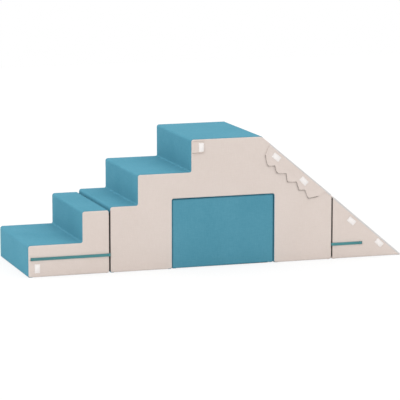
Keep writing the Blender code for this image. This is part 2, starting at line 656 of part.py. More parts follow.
def build_corner_tab(bridge):
    """A tab that folds out from the edge of the top riser, with a patch at its free end."""
    place = (SECOND_RISER + FLAP_HINGE_INSET, -CLEARANCE - FLAP / 2, PLATFORM_HEIGHT - TAB_DROP)
    hinge = new_frame("corner_tab_hinge", place, bridge)
    tab = box((0, -FLAP / 2, -TAB_WIDTH), (TAB_LENGTH, FLAP / 2, 0))
    new_piece("corner_tab", tab, hinge, "beige_fabric")
    outer = -FLAP / 2 - CLEARANCE - PATCH
    right = TAB_LENGTH - TAB_PATCH_SETBACK
    low = (right - PATCH_WIDTH, outer, -TAB_PATCH_DROP - PATCH_LENGTH)
    new_piece("corner_tab_patch", box(low, (right, outer + PATCH, -TAB_PATCH_DROP)), hinge, "white_tape")


def build_stair_patch(stair):
    """The upright patch low on the stair's near side."""
    low = (STAIR_PATCH_INSET, -CLEARANCE - PATCH, STAIR_PATCH_LIFT)
    high = (STAIR_PATCH_INSET + PATCH_WIDTH, -CLEARANCE, STAIR_PATCH_LIFT + PATCH_LENGTH)
    new_piece("stair_patch", box(low, high), stair, "white_tape")


def build_wedge_patches(wedge):
    """Two patches below the wedge's slide, in line with it."""
    slope = new_frame("wedge_patch_line", (0, 0, WEDGE_HEIGHT), wedge, (0, WEDGE_SLOPE, 0))
    for name, place in zip(("upper", "lower"), WEDGE_PATCH_PLACES):
        low = (place - PATCH_LENGTH / 2, -CLEARANCE - PATCH, -SLOPE_PATCH_DEPTH - PATCH_WIDTH / 2)
        high = (place + PATCH_LENGTH / 2, -CLEARANCE, -SLOPE_PATCH_DEPTH + PATCH_WIDTH / 2)
        new_piece(f"wedge_{name}_patch", box(low, high), slope, "white_tape")


def clear_scene():
    for old in list(bpy.data.objects):
        bpy.data.objects.remove(old, do_unlink=True)


def main():
    clear_scene()
    whole = new_frame("climber", (-TOTAL_LENGTH / 2, -DEPTH / 2, 0))
    stair = new_frame("stair_block", (0, 0, 0), whole)
    bridge = new_frame("bridge_block", (BRIDGE_X, 0, 0), whole)
    wedge = new_frame("wedge_block", (WEDGE_X, 0, 0), whole)
    filler = new_frame("tunnel_block", (FILLER_X, 0, 0), whole)
    build_stair(stair)
    build_bridge(bridge)
    build_wedge(wedge)
    build_filler(filler)
    stair_fold = -BAND_CENTRE
    wedge_fold = BRIDGE_LENGTH + BAND_CENTRE
    stair_strap_length = BRIDGE_X + stair_fold - STAIR_STRAP_END
    wedge_strap_length = WEDGE_STRAP_REACH + BLOCK_GAP - BAND_CENTRE
    joint_straps(bridge, "stair", stair_fold, STAIR_STRAP_HEIGHT, stair_strap_length, -1)
    joint_straps(bridge, "wedge", wedge_fold, WEDGE_STRAP_HEIGHT, wedge_strap_length, 1)
    tape_start = STAIR_STRAP_END + TAPE_SETBACK
    holding_tapes(stair, "stair", tape_start, STAIR_LENGTH - STRIP_START, STAIR_STRAP_HEIGHT)
    holding_tapes(wedge, "wedge", STRIP_START, WEDGE_STRAP_REACH - TAPE_SETBACK, WEDGE_STRAP_HEIGHT)
    build_ridge_flap(bridge)
    build_corner_tab(bridge)
    build_stair_patch(stair)
    build_wedge_patches(wedge)


main()
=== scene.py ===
# %% [markdown]
# # Soft play climber: foam blocks in sewn covers
# The real thing is a row of firm foam blocks. Each wears a fitted cloth cover that a zip closes, webbing
# straps hold the row together, and a few flaps and patches are sewn to the near side. The measured solids
# come first as a fixed frame. Every soft solid then gets a sewn piece in its place, and the small metal
# sliders stay, with softened edges and a better finish. All lengths are metres.

# %% Load the frame
import json
import math

import bmesh
import bpy
import numpy as np
from mathutils import Matrix, Vector, noise
from mathutils.kdtree import KDTree

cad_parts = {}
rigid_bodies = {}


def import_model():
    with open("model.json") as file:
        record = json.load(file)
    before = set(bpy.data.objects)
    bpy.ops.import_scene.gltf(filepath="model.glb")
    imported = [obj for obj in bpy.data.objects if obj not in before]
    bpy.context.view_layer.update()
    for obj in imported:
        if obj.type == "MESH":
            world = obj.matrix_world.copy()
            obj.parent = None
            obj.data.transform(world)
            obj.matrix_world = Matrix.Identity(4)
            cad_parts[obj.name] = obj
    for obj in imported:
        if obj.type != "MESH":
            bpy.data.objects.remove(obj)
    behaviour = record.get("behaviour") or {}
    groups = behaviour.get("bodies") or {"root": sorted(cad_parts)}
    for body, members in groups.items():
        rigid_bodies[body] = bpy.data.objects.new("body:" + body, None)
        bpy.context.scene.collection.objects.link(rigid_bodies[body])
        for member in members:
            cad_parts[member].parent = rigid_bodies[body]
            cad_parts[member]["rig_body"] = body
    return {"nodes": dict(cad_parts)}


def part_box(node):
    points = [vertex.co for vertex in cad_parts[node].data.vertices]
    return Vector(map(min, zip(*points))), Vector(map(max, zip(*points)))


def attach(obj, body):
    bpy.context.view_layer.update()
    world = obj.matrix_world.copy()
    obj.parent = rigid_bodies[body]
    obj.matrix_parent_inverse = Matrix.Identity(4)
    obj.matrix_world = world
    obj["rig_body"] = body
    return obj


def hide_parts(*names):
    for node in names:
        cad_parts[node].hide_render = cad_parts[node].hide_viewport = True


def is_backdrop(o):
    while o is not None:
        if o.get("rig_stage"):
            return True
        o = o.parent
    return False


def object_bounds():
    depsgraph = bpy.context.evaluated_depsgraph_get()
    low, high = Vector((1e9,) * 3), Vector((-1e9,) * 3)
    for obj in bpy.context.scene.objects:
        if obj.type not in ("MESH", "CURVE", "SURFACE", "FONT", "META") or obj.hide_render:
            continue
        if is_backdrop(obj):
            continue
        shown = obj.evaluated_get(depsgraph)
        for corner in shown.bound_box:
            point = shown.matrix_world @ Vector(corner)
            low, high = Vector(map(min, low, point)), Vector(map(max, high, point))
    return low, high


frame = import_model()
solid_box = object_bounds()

MM = 0.001
nodes = frame["nodes"]
print("solids in the frame:", len(nodes), "from", solid_box[0][:], "to", solid_box[1][:])

# %% [markdown]
# ## Sizes that the blocks share
# A cover is drawn from its block's profile, seen from the side. A corner is x, z and the radius of the
# cloth there, in the block's own place along the row, and the profile runs clockwise. Reading the ends of
# the blocks from the frame keeps the cloth on the foam. The tunnel block has slipped a little to the
# right in its opening, stands back a few millimetres, and its right end lies higher than its left.

# %% Profiles of the four blocks
BLOCK_SHIFT, BLOCK_RECESS = 3 * MM, 4 * MM
START = {body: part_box(f"{body}_near_panel")[0].x for body in ("stair", "bridge", "wedge", "tunnel_block")}
START["tunnel_block"] += BLOCK_SHIFT
NEAR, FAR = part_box("bridge_near_panel")[0].y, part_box("bridge_far_panel")[1].y

STAIR_FRONT, STAIR_RUN, STAIR_RUN_2 = -2.2 * MM, 252.5 * MM, 127.9 * MM
STAIR_TOP, STAIR_TOP_2 = 148.8 * MM, 293 * MM
BRIDGE_RUN, BRIDGE_RUN_2, PLATFORM_RUN = 131.7 * MM, 256.6 * MM, 341.7 * MM
BRIDGE_TOP, BRIDGE_TOP_2, PLATFORM_TOP = 307 * MM, 448.5 * MM, 600 * MM
SLIDE_RUN, SLIDE_END = 352.4 * MM, 305.8 * MM
LEFT_LEG, TUNNEL_RUN, TUNNEL_TOP = 297.3 * MM, 497.5 * MM, 326.8 * MM
WEDGE_RUN, WEDGE_TOP = 355 * MM, 301.5 * MM
BLOCK_RUN, BLOCK_TOP, BLOCK_TOP_2 = 494.5 * MM, 323.6 * MM, 325.6 * MM
BLOCK_LIFT, BLOCK_LIFT_2 = 0.5 * MM, 2.5 * MM
FOOT, ROUND_FOOT, NOSING, INNER = 8 * MM, 12 * MM, 12 * MM, 7 * MM
RIDGE, TIP, TUNNEL_CORNER = 5 * MM, 3 * MM, 8 * MM
RISER_BULGE, TREAD_BULGE, LONG_BULGE = 1.2 * MM, 1.5 * MM, 1.8 * MM
LIFT = 0.5 * MM
TURN_UNDER, TOE_TURN_UNDER = 20 * MM, 30 * MM
SEAM_FROM_CORNER = 12 * MM
SEAM_INSET = 8 * MM
CLOTH = 2 * MM

STAIR_END = STAIR_RUN + STAIR_RUN_2
RISER_2 = BRIDGE_RUN + BRIDGE_RUN_2
PLATFORM_END = RISER_2 + PLATFORM_RUN
BRIDGE_END = PLATFORM_END + SLIDE_RUN
TUNNEL_END = LEFT_LEG + TUNNEL_RUN
WEDGE_ANGLE = math.atan2(WEDGE_TOP, WEDGE_RUN)
TOE = WEDGE_RUN - LIFT / math.tan(WEDGE_ANGLE)
SLIDE_ANGLE = math.atan2(PLATFORM_TOP - SLIDE_END, SLIDE_RUN)
print(f"slide slopes: {math.degrees(SLIDE_ANGLE):.1f} and {math.degrees(WEDGE_ANGLE):.1f} degrees")

# %% [markdown]
# ## Small helpers
# Colours are picked as sRGB hex, as a paint program shows them, while a shader works in linear light, so
# one function turns them. One more function adds a shader node with its settings and its links.

# %% Helpers for colours, nodes and objects


def linear(hex_colour):
    """A colour written as sRGB hex, as the linear values that a shader works in."""
    channels = [int(hex_colour[i : i + 2], 16) / 255 for i in (0, 2, 4)]
    return [c / 12.92 if c <= 0.04045 else ((c + 0.055) / 1.055) ** 2.4 for c in channels] + [1.0]


def add(tree, kind, inputs=None, **settings):
    """Adds a shader node. An input is a value, or the output of another node to link."""
    made = tree.nodes.new(kind)
    for key, value in settings.items():
        setattr(made, key, value)
    for key, value in (inputs or {}).items():
        if isinstance(value, bpy.types.NodeSocket):
            tree.links.new(value, made.inputs[key])
        else:
            made.inputs[key].default_value = value
    return made


def new_material(name, **shader):
    """A material with only a Principled shader in it. The shader's constants stay on its own sockets."""
    material = bpy.data.materials.new(name)
    material.use_nodes = True
    tree = material.node_tree
    principled = tree.nodes["Principled BSDF"]
    for key, value in shader.items():
        principled.inputs[key.replace("_", " ").title().replace("Ior", "IOR")].default_value = value
    return material, tree, principled


def dye(tree, shader, factor, dark, light):
    """Colours a shader between two dyes."""
    blend = {"Factor": factor, "A": linear(dark), "B": linear(light)}
    tone = add(tree, "ShaderNodeMix", blend, data_type="RGBA")
    tree.links.new(tone.outputs["Result"], shader.inputs["Base Color"])


def bump(tree, shader, height, strength, distance):
    """Adds a bump on top of the one that a shader may already have."""
    made = add(tree, "ShaderNodeBump", {"Height": height, "Strength": strength, "Distance": distance})
    for link in shader.inputs["Normal"].links:
        tree.links.new(link.from_socket, made.inputs["Normal"])
    tree.links.new(made.outputs[0], shader.inputs["Normal"])


def total(tree, sockets):
    """The sum of several grey values."""
    result = sockets[0]
    for socket in sockets[1:]:
        result = add(tree, "ShaderNodeMath", {0: result, 1: socket}, operation="ADD").outputs[0]
    return result


def object_place(tree):
    """Object coordinates, so that a pattern keeps its real size."""
    return add(tree, "ShaderNodeTexCoord").outputs["Object"]


def click(piece):
    """Selects one object and nothing else."""
    bpy.ops.object.select_all(action="DESELECT")
    piece.select_set(True)
    bpy.context.view_layer.objects.active = piece


def primitive(operator, name, scale=(1, 1, 1), **settings):
    """A primitive mesh from one of Blender's operators, with its place, turn and scale applied."""
    bpy.ops.object.select_all(action="DESELECT")
    operator(**settings)
    piece = bpy.context.object
    piece.name = name
    piece.scale = scale
    bpy.ops.object.transform_apply(location=True, rotation=True, scale=True)
    return piece


def apply_modifiers(piece):
    """Applies all modifiers of a piece, in their order."""
    click(piece)
    for modifier in list(piece.modifiers):
        bpy.ops.object.modifier_apply(modifier=modifier.name)


print("helpers ready")

# %% [markdown]
# ## Woven cloth
# The covers are a melange cloth: warp and weft threads of slightly different dye, so the colour is
# quietly uneven along the threads. A thread is under a millimetre and would vanish in the picture, so the
# slubs, the thicker stretches of a thread, are drawn 4 mm wide and 35 mm long. Three stretched noises,
# one along each axis, give every flat face two crossing sets of threads, whichever way it looks. The
# weave itself is a fine bump.

# %% Woven cloth
SLUB_WIDTH, SLUB_LENGTH = 4 * MM, 35 * MM
THREAD = 1.6 * MM
CLOUD = 180 * MM
WAVE_PERIOD = 0.314  # metres from wave to wave in a wave texture at a scale of 1


def slubs(tree, place):
    """Grey noise that runs along X, Y and Z in equal parts."""
    found = []
    for axis in range(3):
        scale = [1 / SLUB_WIDTH] * 3
        scale[axis] = 1 / SLUB_LENGTH
        moved = {"Vector": place, "Scale": scale, "Location": (axis, 0, 0)}
        values = {"Vector": add(tree, "ShaderNodeMapping", moved).outputs[0], "Scale": 1.0, "Detail": 3.0}
        found.append(add(tree, "ShaderNodeTexNoise", values).outputs["Fac"])
    return total(tree, found)


def weave(tree, place, pitch, distortion, directions):
    """Height of crossing threads: a fine wave along each of the axes named."""
    values = {"Vector": place, "Scale": WAVE_PERIOD / pitch, "Distortion": distortion, "Detail": 1.0}
    found = []
    for direction in directions:
        wave = add(tree, "ShaderNodeTexWave", values, wave_type="BANDS", bands_direction=direction)
        found.append(wave.outputs["Fac"])
    return total(tree, found)


def woven_cloth(name, dark, light):
    """Melange cloth between two dyes, matt, with hardly a shine."""
    material, tree, shader = new_material(name, roughness=0.9, specular_ior_level=0.1)
    place = object_place(tree)
    streaks = slubs(tree, place)
    cloud = add(tree, "ShaderNodeTexNoise", {"Vector": place, "Scale": 1 / CLOUD, "Detail": 2.0})
    both = total(tree, [streaks, cloud.outputs["Fac"]])
    share = add(tree, "ShaderNodeMapRange", {"Value": both, "From Min": 1.4, "From Max": 2.6})
    dye(tree, shader, share.outputs[0], dark, light)
    bump(tree, shader, weave(tree, place, THREAD, 0.6, "XYZ"), 0.35, 0.15 * MM)
    bump(tree, shader, streaks, 0.5, 0.35 * MM)
    return material


CLOTHS = {
    "teal_fabric": woven_cloth("teal_melange_cloth", "4B8B9F", "5A98AC"),
    "beige_fabric": woven_cloth("beige_melange_cloth", "D5C8C0", "DCD0C9"),
}
print("cloths:", ", ".join(CLOTHS))

# %% Tapes, threads and rubber


def flat_material(name, dark, light, grain, roughness, depth, **shader_values):
    """A material that wavers between two dyes at a grain size, with a bump of the same grain."""
    material, tree, shader = new_material(name, roughness=roughness, **shader_values)
    values = {"Vector": object_place(tree), "Scale": 1 / grain, "Detail": 3.0}
    grains = add(tree, "ShaderNodeTexNoise", values).outputs["Fac"]
    dye(tree, shader, grains, dark, light)
    bump(tree, shader, grains, 0.6, depth)
    return material


print("plain finishes ready")

# %% [markdown]
# ## Following a profile
# A cover strip is one long cloth that runs over risers, nosings and treads between the two side panels.
# Its shape is the profile swept across the depth, so it is made in mesh code: first the places along the
# profile, with an arc at each corner, then a row of vertices across at each place. Near a seam the rows
# come close together, because there the cloth turns down into the seam. A corner may carry a fourth
# value, how far the run after it bulges.

# %% Places along a profile
STEP = 6 * MM
ARC_TURN = math.radians(12)
SEAM_TURN = (
    (0, -2.0 * MM),
    (0.4 * MM, -1.0 * MM),
    (1.2 * MM, -0.35 * MM),
    (2.5 * MM, -0.05 * MM),
    (4.2 * MM, 0),
    (6 * MM, 0),
)
SEAM_ROOM = SEAM_TURN[-1][0]


def spaced(length, sewn_start, sewn_end):
    """Distances along a run, close together at a sewn end."""
    low = SEAM_ROOM if sewn_start else 0
    high = length - (SEAM_ROOM if sewn_end else 0)
    count = max(1, round((high - low) / STEP))
    places = [low + (high - low) * k / count for k in range(count + 1)]
    turn = [distance for distance, height in SEAM_TURN[:-1]]
    if sewn_start:
        places = turn + places
    if sewn_end:
        places += [length - distance for distance in reversed(turn)]
    return places


def seam_height(distance):
    """How far the cloth has turned down at a distance from its seam."""
    return float(np.interp(distance, [d for d, h in SEAM_TURN], [h for d, h in SEAM_TURN]))


def stations(corners):
    """Places along an open path, each with its normal, its distance to the nearest bend and its bulge."""
    places = [Vector(corner[:2]) for corner in corners]
    edges = [(b - a).normalized() for a, b in zip(places, places[1:])]
    turns = [0.0] * len(places)
    for i in range(1, len(places) - 1):
        before, after = edges[i - 1], edges[i]
        turns[i] = math.atan2(before.x * after.y - before.y * after.x, before.dot(after))
    cuts = [corner[2] * math.tan(abs(turn) / 2) for corner, turn in zip(corners, turns)]
    found = []
    for i, edge in enumerate(edges):
        start, end = places[i] + edge * cuts[i], places[i + 1] - edge * cuts[i + 1]
        length = (end - start).length
        normal = Vector((-edge.y, edge.x))
        bulge = corners[i][3] if len(corners[i]) > 3 else 0
        for place in spaced(length, i == 0, i == len(edges) - 1):
            found.append((start + edge * place, normal.copy(), min(place, length - place), bulge))
        if i + 1 < len(edges):
            turn, radius = turns[i + 1], corners[i + 1][2]
            centre = end + normal * math.copysign(radius, turn)
            steps = max(2, math.ceil(abs(turn) / ARC_TURN))
            for k in range(1, steps):
                rotation = Matrix.Rotation(turn * k / steps, 2)
                found.append((centre + rotation @ (end - centre), rotation @ normal, 0.0, 0.0))
    return found


print("places along one tread:", len(spaced(STAIR_RUN, False, False)))

# %% [markdown]
# ## How taut cloth lies
# The foam is firm and the cover is cut a little small, so the faces are nearly flat. What the eye still
# reads as cloth is slight: a free face bulges by a millimetre or two between its seams, slow waves cross
# it, and the seam draws the cloth into small puckers. These moves come from smooth noise that is the same
# on every run.

# %% Bulge, waves and puckers
BULGE_REACH = 70 * MM
WAVE, WAVE_LENGTH, WAVE_REACH = 0.45 * MM, 120 * MM, 30 * MM
PUCKER, PUCKER_LENGTH, PUCKER_START, PUCKER_REACH = 0.35 * MM, 22 * MM, 2.5 * MM, 10 * MM


def ease(share):
    """0 to 1 with a soft start and end."""
    share = min(max(share, 0.0), 1.0)
    return share * share * (3 - 2 * share)


def taut_height(place, bulge, to_bend, to_seam):
    """How far a point of a strip stands off the plain profile."""
    rise = bulge * ease(to_bend / BULGE_REACH) * ease(to_seam / BULGE_REACH)
    if bulge:
        wave = WAVE * noise.noise(place / WAVE_LENGTH)
        rise += wave * ease(to_seam / WAVE_REACH) * ease(to_bend / WAVE_REACH)
        along = Vector((place.x, math.copysign(1, place.y), place.z)) / PUCKER_LENGTH
        drawn = math.exp(-to_seam / PUCKER_REACH) * ease(to_seam / PUCKER_START)
        rise += PUCKER * noise.noise(along) * drawn
    return rise


print(f"a face reaches its full bulge {BULGE_REACH / MM:.0f} mm in from its edges")

# %% [markdown]
# ## Making a strip
# The rows of vertices become quads, a Solidify modifier gives the cloth its thickness towards the foam,
# and shading is smooth except at the cut edges. A thin wadding is quilted to the back of each cover.

# %% Strips between the side panels
SEAM_GAP = 0.3 * MM
SEAM_ANGLE = math.radians(57)
WRAP = SEAM_INSET * (math.pi / 2 - SEAM_ANGLE) - SEAM_GAP
TOPSTITCH_INSET = 1.5 * MM
CLOTH_BEND, PLATE_BEND = math.radians(50), math.radians(40)  # sharper bends than these aren't shaded smooth


def face_of(body, side):
    """Where a block's near side (-1) or far side (1) lies. The tunnel block stands back a little."""
    return side * FAR + (BLOCK_RECESS if body == "tunnel_block" and side < 0 else 0)


def rim_place(turn):
    """Inset and depth on a round rim. A turn of 0 faces the side, a right angle away from the block."""
    return SEAM_INSET * (1 - math.sin(turn)), SEAM_INSET * (1 - math.cos(turn))


def link_piece(name, mesh):
    """A new object with a mesh, in the scene and selected."""
    piece = bpy.data.objects.new(name, mesh)
    bpy.context.scene.collection.objects.link(piece)
    click(piece)
    return piece


def new_mesh_piece(name, bm, material):
    """A new object from a bmesh, with its material."""
    mesh = bpy.data.meshes.new(name)
    bm.to_mesh(mesh)
    bm.free()
    mesh.materials.append(material)
    return link_piece(name, mesh)


def give_thickness(piece, thickness):
    """Thickens a sheet towards its back and shades it smooth."""
    solidify = piece.modifiers.new("cloth", "SOLIDIFY")
    solidify.thickness = thickness
    solidify.offset = -1.0
    apply_modifiers(piece)
    bpy.ops.object.shade_smooth_by_angle(angle=CLOTH_BEND)


def finish_piece(piece, body, slot, *replaced):
    """Ties a piece to its body, and hides the solids that it stands for. The slot is not used."""
    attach(piece, body)
    if replaced:
        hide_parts(*replaced)
    print(f"{piece.name}: {len(piece.data.polygons)} faces on {body}")


def finish_cover(piece, body, slot, node):
    """Gives a cover its thickness, ties it to its body and hides the solid that it stands for."""
    give_thickness(piece, CLOTH)
    finish_piece(piece, body, slot, node)


def strip(name, body, corners, slot):
    """A cover strip from seam to seam, round both rims. Returns the path that its top stitches follow."""
    block_x = START[body]
    path = stations(corners)
    walked = [0.0]
    for before, after in zip(path, path[1:]):
        walked.append(walked[-1] + (after[0] - before[0]).length)
    flat_near, flat_far = face_of(body, -1) + SEAM_INSET, face_of(body, 1) - SEAM_INSET
    width = flat_far - flat_near + 2 * WRAP
    across = [flat_near - WRAP + place for place in spaced(width, True, True)]
    bm = bmesh.new()
    rows = []
    for (place, normal, to_bend, bulge), distance in zip(path, walked):
        to_end = min(distance, walked[-1] - distance)
        row = []
        for y in across:
            to_seam = min(y - flat_near, flat_far - y) + WRAP
            side, over = math.copysign(1, y), max(flat_near - y, y - flat_far, 0)
            turn = math.pi / 2 - over / SEAM_INSET
            inset, depth = rim_place(turn)
            height = min(seam_height(to_seam), seam_height(to_end))
            height += taut_height(Vector((block_x + place.x, y, place.y)), bulge, to_bend, to_seam)
            out_y = side * math.cos(turn)
            out = Vector((normal.x * math.sin(turn), out_y, normal.y * math.sin(turn)))
            point_y = face_of(body, side) - side * depth if over else y
            point = Vector((block_x + place.x - normal.x * inset, point_y, place.y - normal.y * inset))
            row.append(bm.verts.new(point + out * height))
        rows.append(row)
    for low, high in zip(rows, rows[1:]):
        for i in range(len(across) - 1):
            bm.faces.new((low[i], high[i], high[i + 1], low[i + 1]))
    finish_cover(new_mesh_piece(name, bm, CLOTHS[slot]), body, slot, name)
    return [(block_x + place.x, place.y, normal) for place, normal, to_bend, bulge in path]


print(f"a strip goes {WRAP / MM:.1f} mm round each rim")

# %% Covers of the risers, treads, walls and slides
STAIR = [
    (STAIR_FRONT, LIFT, FOOT, RISER_BULGE),
    (STAIR_FRONT, STAIR_TOP, NOSING, TREAD_BULGE),
    (STAIR_RUN, STAIR_TOP, INNER, RISER_BULGE),
    (STAIR_RUN, STAIR_TOP_2, NOSING, TREAD_BULGE),
    (STAIR_END, STAIR_TOP_2, NOSING),
    (STAIR_END, LIFT, ROUND_FOOT),
]
BRIDGE = [
    (0, LIFT, FOOT),
    (0, BRIDGE_TOP, NOSING, TREAD_BULGE),
    (BRIDGE_RUN, BRIDGE_TOP, INNER, RISER_BULGE),
    (BRIDGE_RUN, BRIDGE_TOP_2, NOSING, TREAD_BULGE),
    (RISER_2, BRIDGE_TOP_2, INNER, RISER_BULGE),
    (RISER_2, PLATFORM_TOP, NOSING, LONG_BULGE),
    (PLATFORM_END, PLATFORM_TOP, NOSING),
    (BRIDGE_END, SLIDE_END, FOOT),
    (BRIDGE_END, LIFT, ROUND_FOOT),
    (TUNNEL_END, LIFT, FOOT),
    (TUNNEL_END, TUNNEL_TOP, TUNNEL_CORNER),
    (LEFT_LEG, TUNNEL_TOP, TUNNEL_CORNER),
    (LEFT_LEG, LIFT, FOOT),
]
WEDGE = [(0, LIFT, FOOT), (0, WEDGE_TOP, RIDGE, TREAD_BULGE), (TOE, LIFT, TIP)]
BLOCK = [
    (0, BLOCK_LIFT, FOOT),
    (0, BLOCK_TOP, FOOT),
    (BLOCK_RUN, BLOCK_TOP_2, FOOT),
    (BLOCK_RUN, BLOCK_LIFT_2, FOOT),
]


def down_slide(distance):
    """A point on the bridge's slide."""
    return (PLATFORM_END + distance * math.cos(SLIDE_ANGLE), PLATFORM_TOP - distance * math.sin(SLIDE_ANGLE))


stair_seam = STAIR_TOP_2 - NOSING - SEAM_FROM_CORNER
slide_seam = SLIDE_END - FOOT - SEAM_FROM_CORNER
wedge_seam = WEDGE_TOP - RIDGE - SEAM_FROM_CORNER
ridge_seam, ridge_seam_below = down_slide(SEAM_FROM_CORNER), down_slide(SEAM_FROM_CORNER + SEAM_GAP)
strips = {
    "stair_step_cover": ("teal_fabric", [(TURN_UNDER, LIFT, 0), *STAIR[:5], (STAIR_END, stair_seam, 0)]),
    "stair_joint_wall": (
        "beige_fabric",
        [(STAIR_END, stair_seam - SEAM_GAP, 0), STAIR[5], (STAIR_END - TURN_UNDER, LIFT, 0)],
    ),
    "bridge_step_cover": ("teal_fabric", [(TURN_UNDER, LIFT, 0), *BRIDGE[:7], (*ridge_seam, 0)]),
    "bridge_slide_cover": (
        "beige_fabric",
        [(*ridge_seam_below, 0, LONG_BULGE), BRIDGE[7], (BRIDGE_END, slide_seam, 0)],
    ),
    "bridge_joint_wall": (
        "beige_fabric",
        [(BRIDGE_END, slide_seam - SEAM_GAP, 0), BRIDGE[8], (BRIDGE_END - TURN_UNDER, LIFT, 0)],
    ),
    "bridge_tunnel_lining": (
        "teal_fabric",
        [(TUNNEL_END + TURN_UNDER, LIFT, 0), *BRIDGE[9:], (LEFT_LEG - TURN_UNDER, LIFT, 0)],
    ),
    "wedge_slide_cover": (
        "beige_fabric",
        [(0, wedge_seam, 0), *WEDGE[1:], (TOE - TOE_TURN_UNDER, LIFT, 0)],
    ),
    "wedge_joint_wall": ("beige_fabric", [(TURN_UNDER, LIFT, 0), WEDGE[0], (0, wedge_seam - SEAM_GAP, 0)]),
    "tunnel_block_wrap": (
        "teal_fabric",
        [(TURN_UNDER, BLOCK_LIFT, 0), *BLOCK, (BLOCK_RUN - TURN_UNDER, BLOCK_LIFT_2, 0)],
    ),
}
seam_lines = {}
for name, (slot, corners) in strips.items():
    seam_lines[name] = strip(name, nodes[name]["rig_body"], corners, slot)

# %% [markdown]
# ## Side panels
# A side panel is a flat piece of cloth in the block's outline whose rim turns round the foam's edge to
# meet the strip in a seam. It is built as rings from that seam round to the flat face, the face is
# filled, and the whole sheet is cut by a raster of planes, so that it has vertices to move. The rim is
# drawn in a little by the seam, and the same small waves and puckers run in from it. On the far side a
# zip's slot is left open.

# %% Rings of a side panel
SHOULDER, SHOULDER_REACH = 0.8 * MM, 45 * MM
RIM_TURNS = [math.radians(angle) for angle in (32, 24, 16, 8, 0)]
RASTER, CUT_REACH = 7 * MM, 1.2 * MM
EXACT = 0.01 * MM
PANEL_WAVE = 0.6 * WAVE
CORNER_STEPS = 7
ZIP_LOW, ZIP_HIGH = 31 * MM, 43 * MM
LEAST_RADIUS = 0.4 * MM
RIM_SAMPLES = 60


def ring(corners, inset):
    """The closed outline moved inwards, with arcs at its corners. A hollow arc grows, the others shrink."""
    places = [Vector(corner[:2]) for corner in corners]
    edges = [(places[(i + 1) % len(places)] - place).normalized() for i, place in enumerate(places)]
    points = []
    for i, place in enumerate(places):
        before, after = edges[i - 1], edges[i]
        turn = math.atan2(before.x * after.y - before.y * after.x, before.dot(after))
        moved = place + (after - before).normalized() * -math.copysign(inset, turn) / math.cos(turn / 2)
        radius = max(corners[i][2] - inset, LEAST_RADIUS) if turn < 0 else corners[i][2] + inset
        start = moved - before * radius * math.tan(abs(turn) / 2)
        centre = start + Vector((-before.y, before.x)) * math.copysign(radius, turn)
        for k in range(CORNER_STEPS + 1):
            points.append(centre + Matrix.Rotation(turn * k / CORNER_STEPS, 2) @ (start - centre))
    return points


def rim_rows():
    """Inset and depth of each ring, from the seam round to the flat face."""
    rows = []
    for distance, height in SEAM_TURN[:4]:
        turn = SEAM_ANGLE - distance / SEAM_INSET
        inset, depth = rim_place(turn)
        rows.append((inset - height * math.sin(turn), depth - height * math.cos(turn)))
    rows += [rim_place(turn) for turn in RIM_TURNS]
    return [(inset, depth + SHOULDER * (1 - depth / SEAM_INSET) ** 2) for inset, depth in rows]


print("rings of a side panel:", len(rim_rows()))

# %% A side panel


def side_panel(name, body, corners, side, slot, windows=()):
    """The near panel for side -1, or the far one for side 1, with an open slot for each zip."""
    block_x, face_y = START[body], face_of(body, side)
    bm = bmesh.new()
    loops = []
    for inset, depth in rim_rows():
        place_y = face_y - depth * side
        loops.append([bm.verts.new((block_x + x, place_y, z)) for x, z in ring(corners, inset)])
    for low, high in zip(loops, loops[1:]):
        for i in range(len(low)):
            bm.faces.new((low[i - 1], low[i], high[i], high[i - 1]))
    bm.faces.new(loops[-1])
    edge_places = [vert.co.copy() for vert in loops[-1]]
    low = [min(place[axis] for place in edge_places) for axis in (0, 2)]
    high = [max(place[axis] for place in edge_places) for axis in (0, 2)]
    cuts = []
    for axis, start, end in ((0, low[0], high[0]), (2, low[1], high[1])):
        count = round((end - start) / RASTER)
        cuts += [(axis, start + (end - start) * k / count, CUT_REACH) for k in range(1, count)]
    for start, end in windows:
        cuts += [(0, start, EXACT), (0, end, EXACT), (2, ZIP_LOW, EXACT), (2, ZIP_HIGH, EXACT)]
    for axis, place, reach in cuts:
        normal = [1.0 if i == axis else 0.0 for i in range(3)]
        cut(bm, normal, place, reach)
    for window in windows:
        open_slot(bm, window, face_y)
    settle(bm, edge_places, face_y, side)
    bm.normal_update()
    if sum(face.normal.y * face.calc_area() for face in bm.faces) * side < 0:
        bmesh.ops.reverse_faces(bm, faces=bm.faces[:])
    finish_cover(new_mesh_piece(name, bm, CLOTHS[slot]), body, slot, name)


def cut(bm, normal, place, reach):
    """Cuts a sheet by a plane. Corners within the reach of the plane count as on it."""
    geometry = bm.verts[:] + bm.edges[:] + bm.faces[:]
    bmesh.ops.bisect_plane(bm, geom=geometry, dist=reach, plane_co=Vector(normal) * place, plane_no=normal)


def open_slot(bm, window, face_y):
    """Opens a zip's slot in the flat face."""
    inside = []
    for face in bm.faces:
        centre = face.calc_center_median()
        in_window = window[0] < centre.x < window[1] and ZIP_LOW < centre.z < ZIP_HIGH
        if in_window and abs(centre.y - face_y) < SEAM_INSET / 2:
            inside.append(face)
    bmesh.ops.delete(bm, geom=inside, context="FACES")


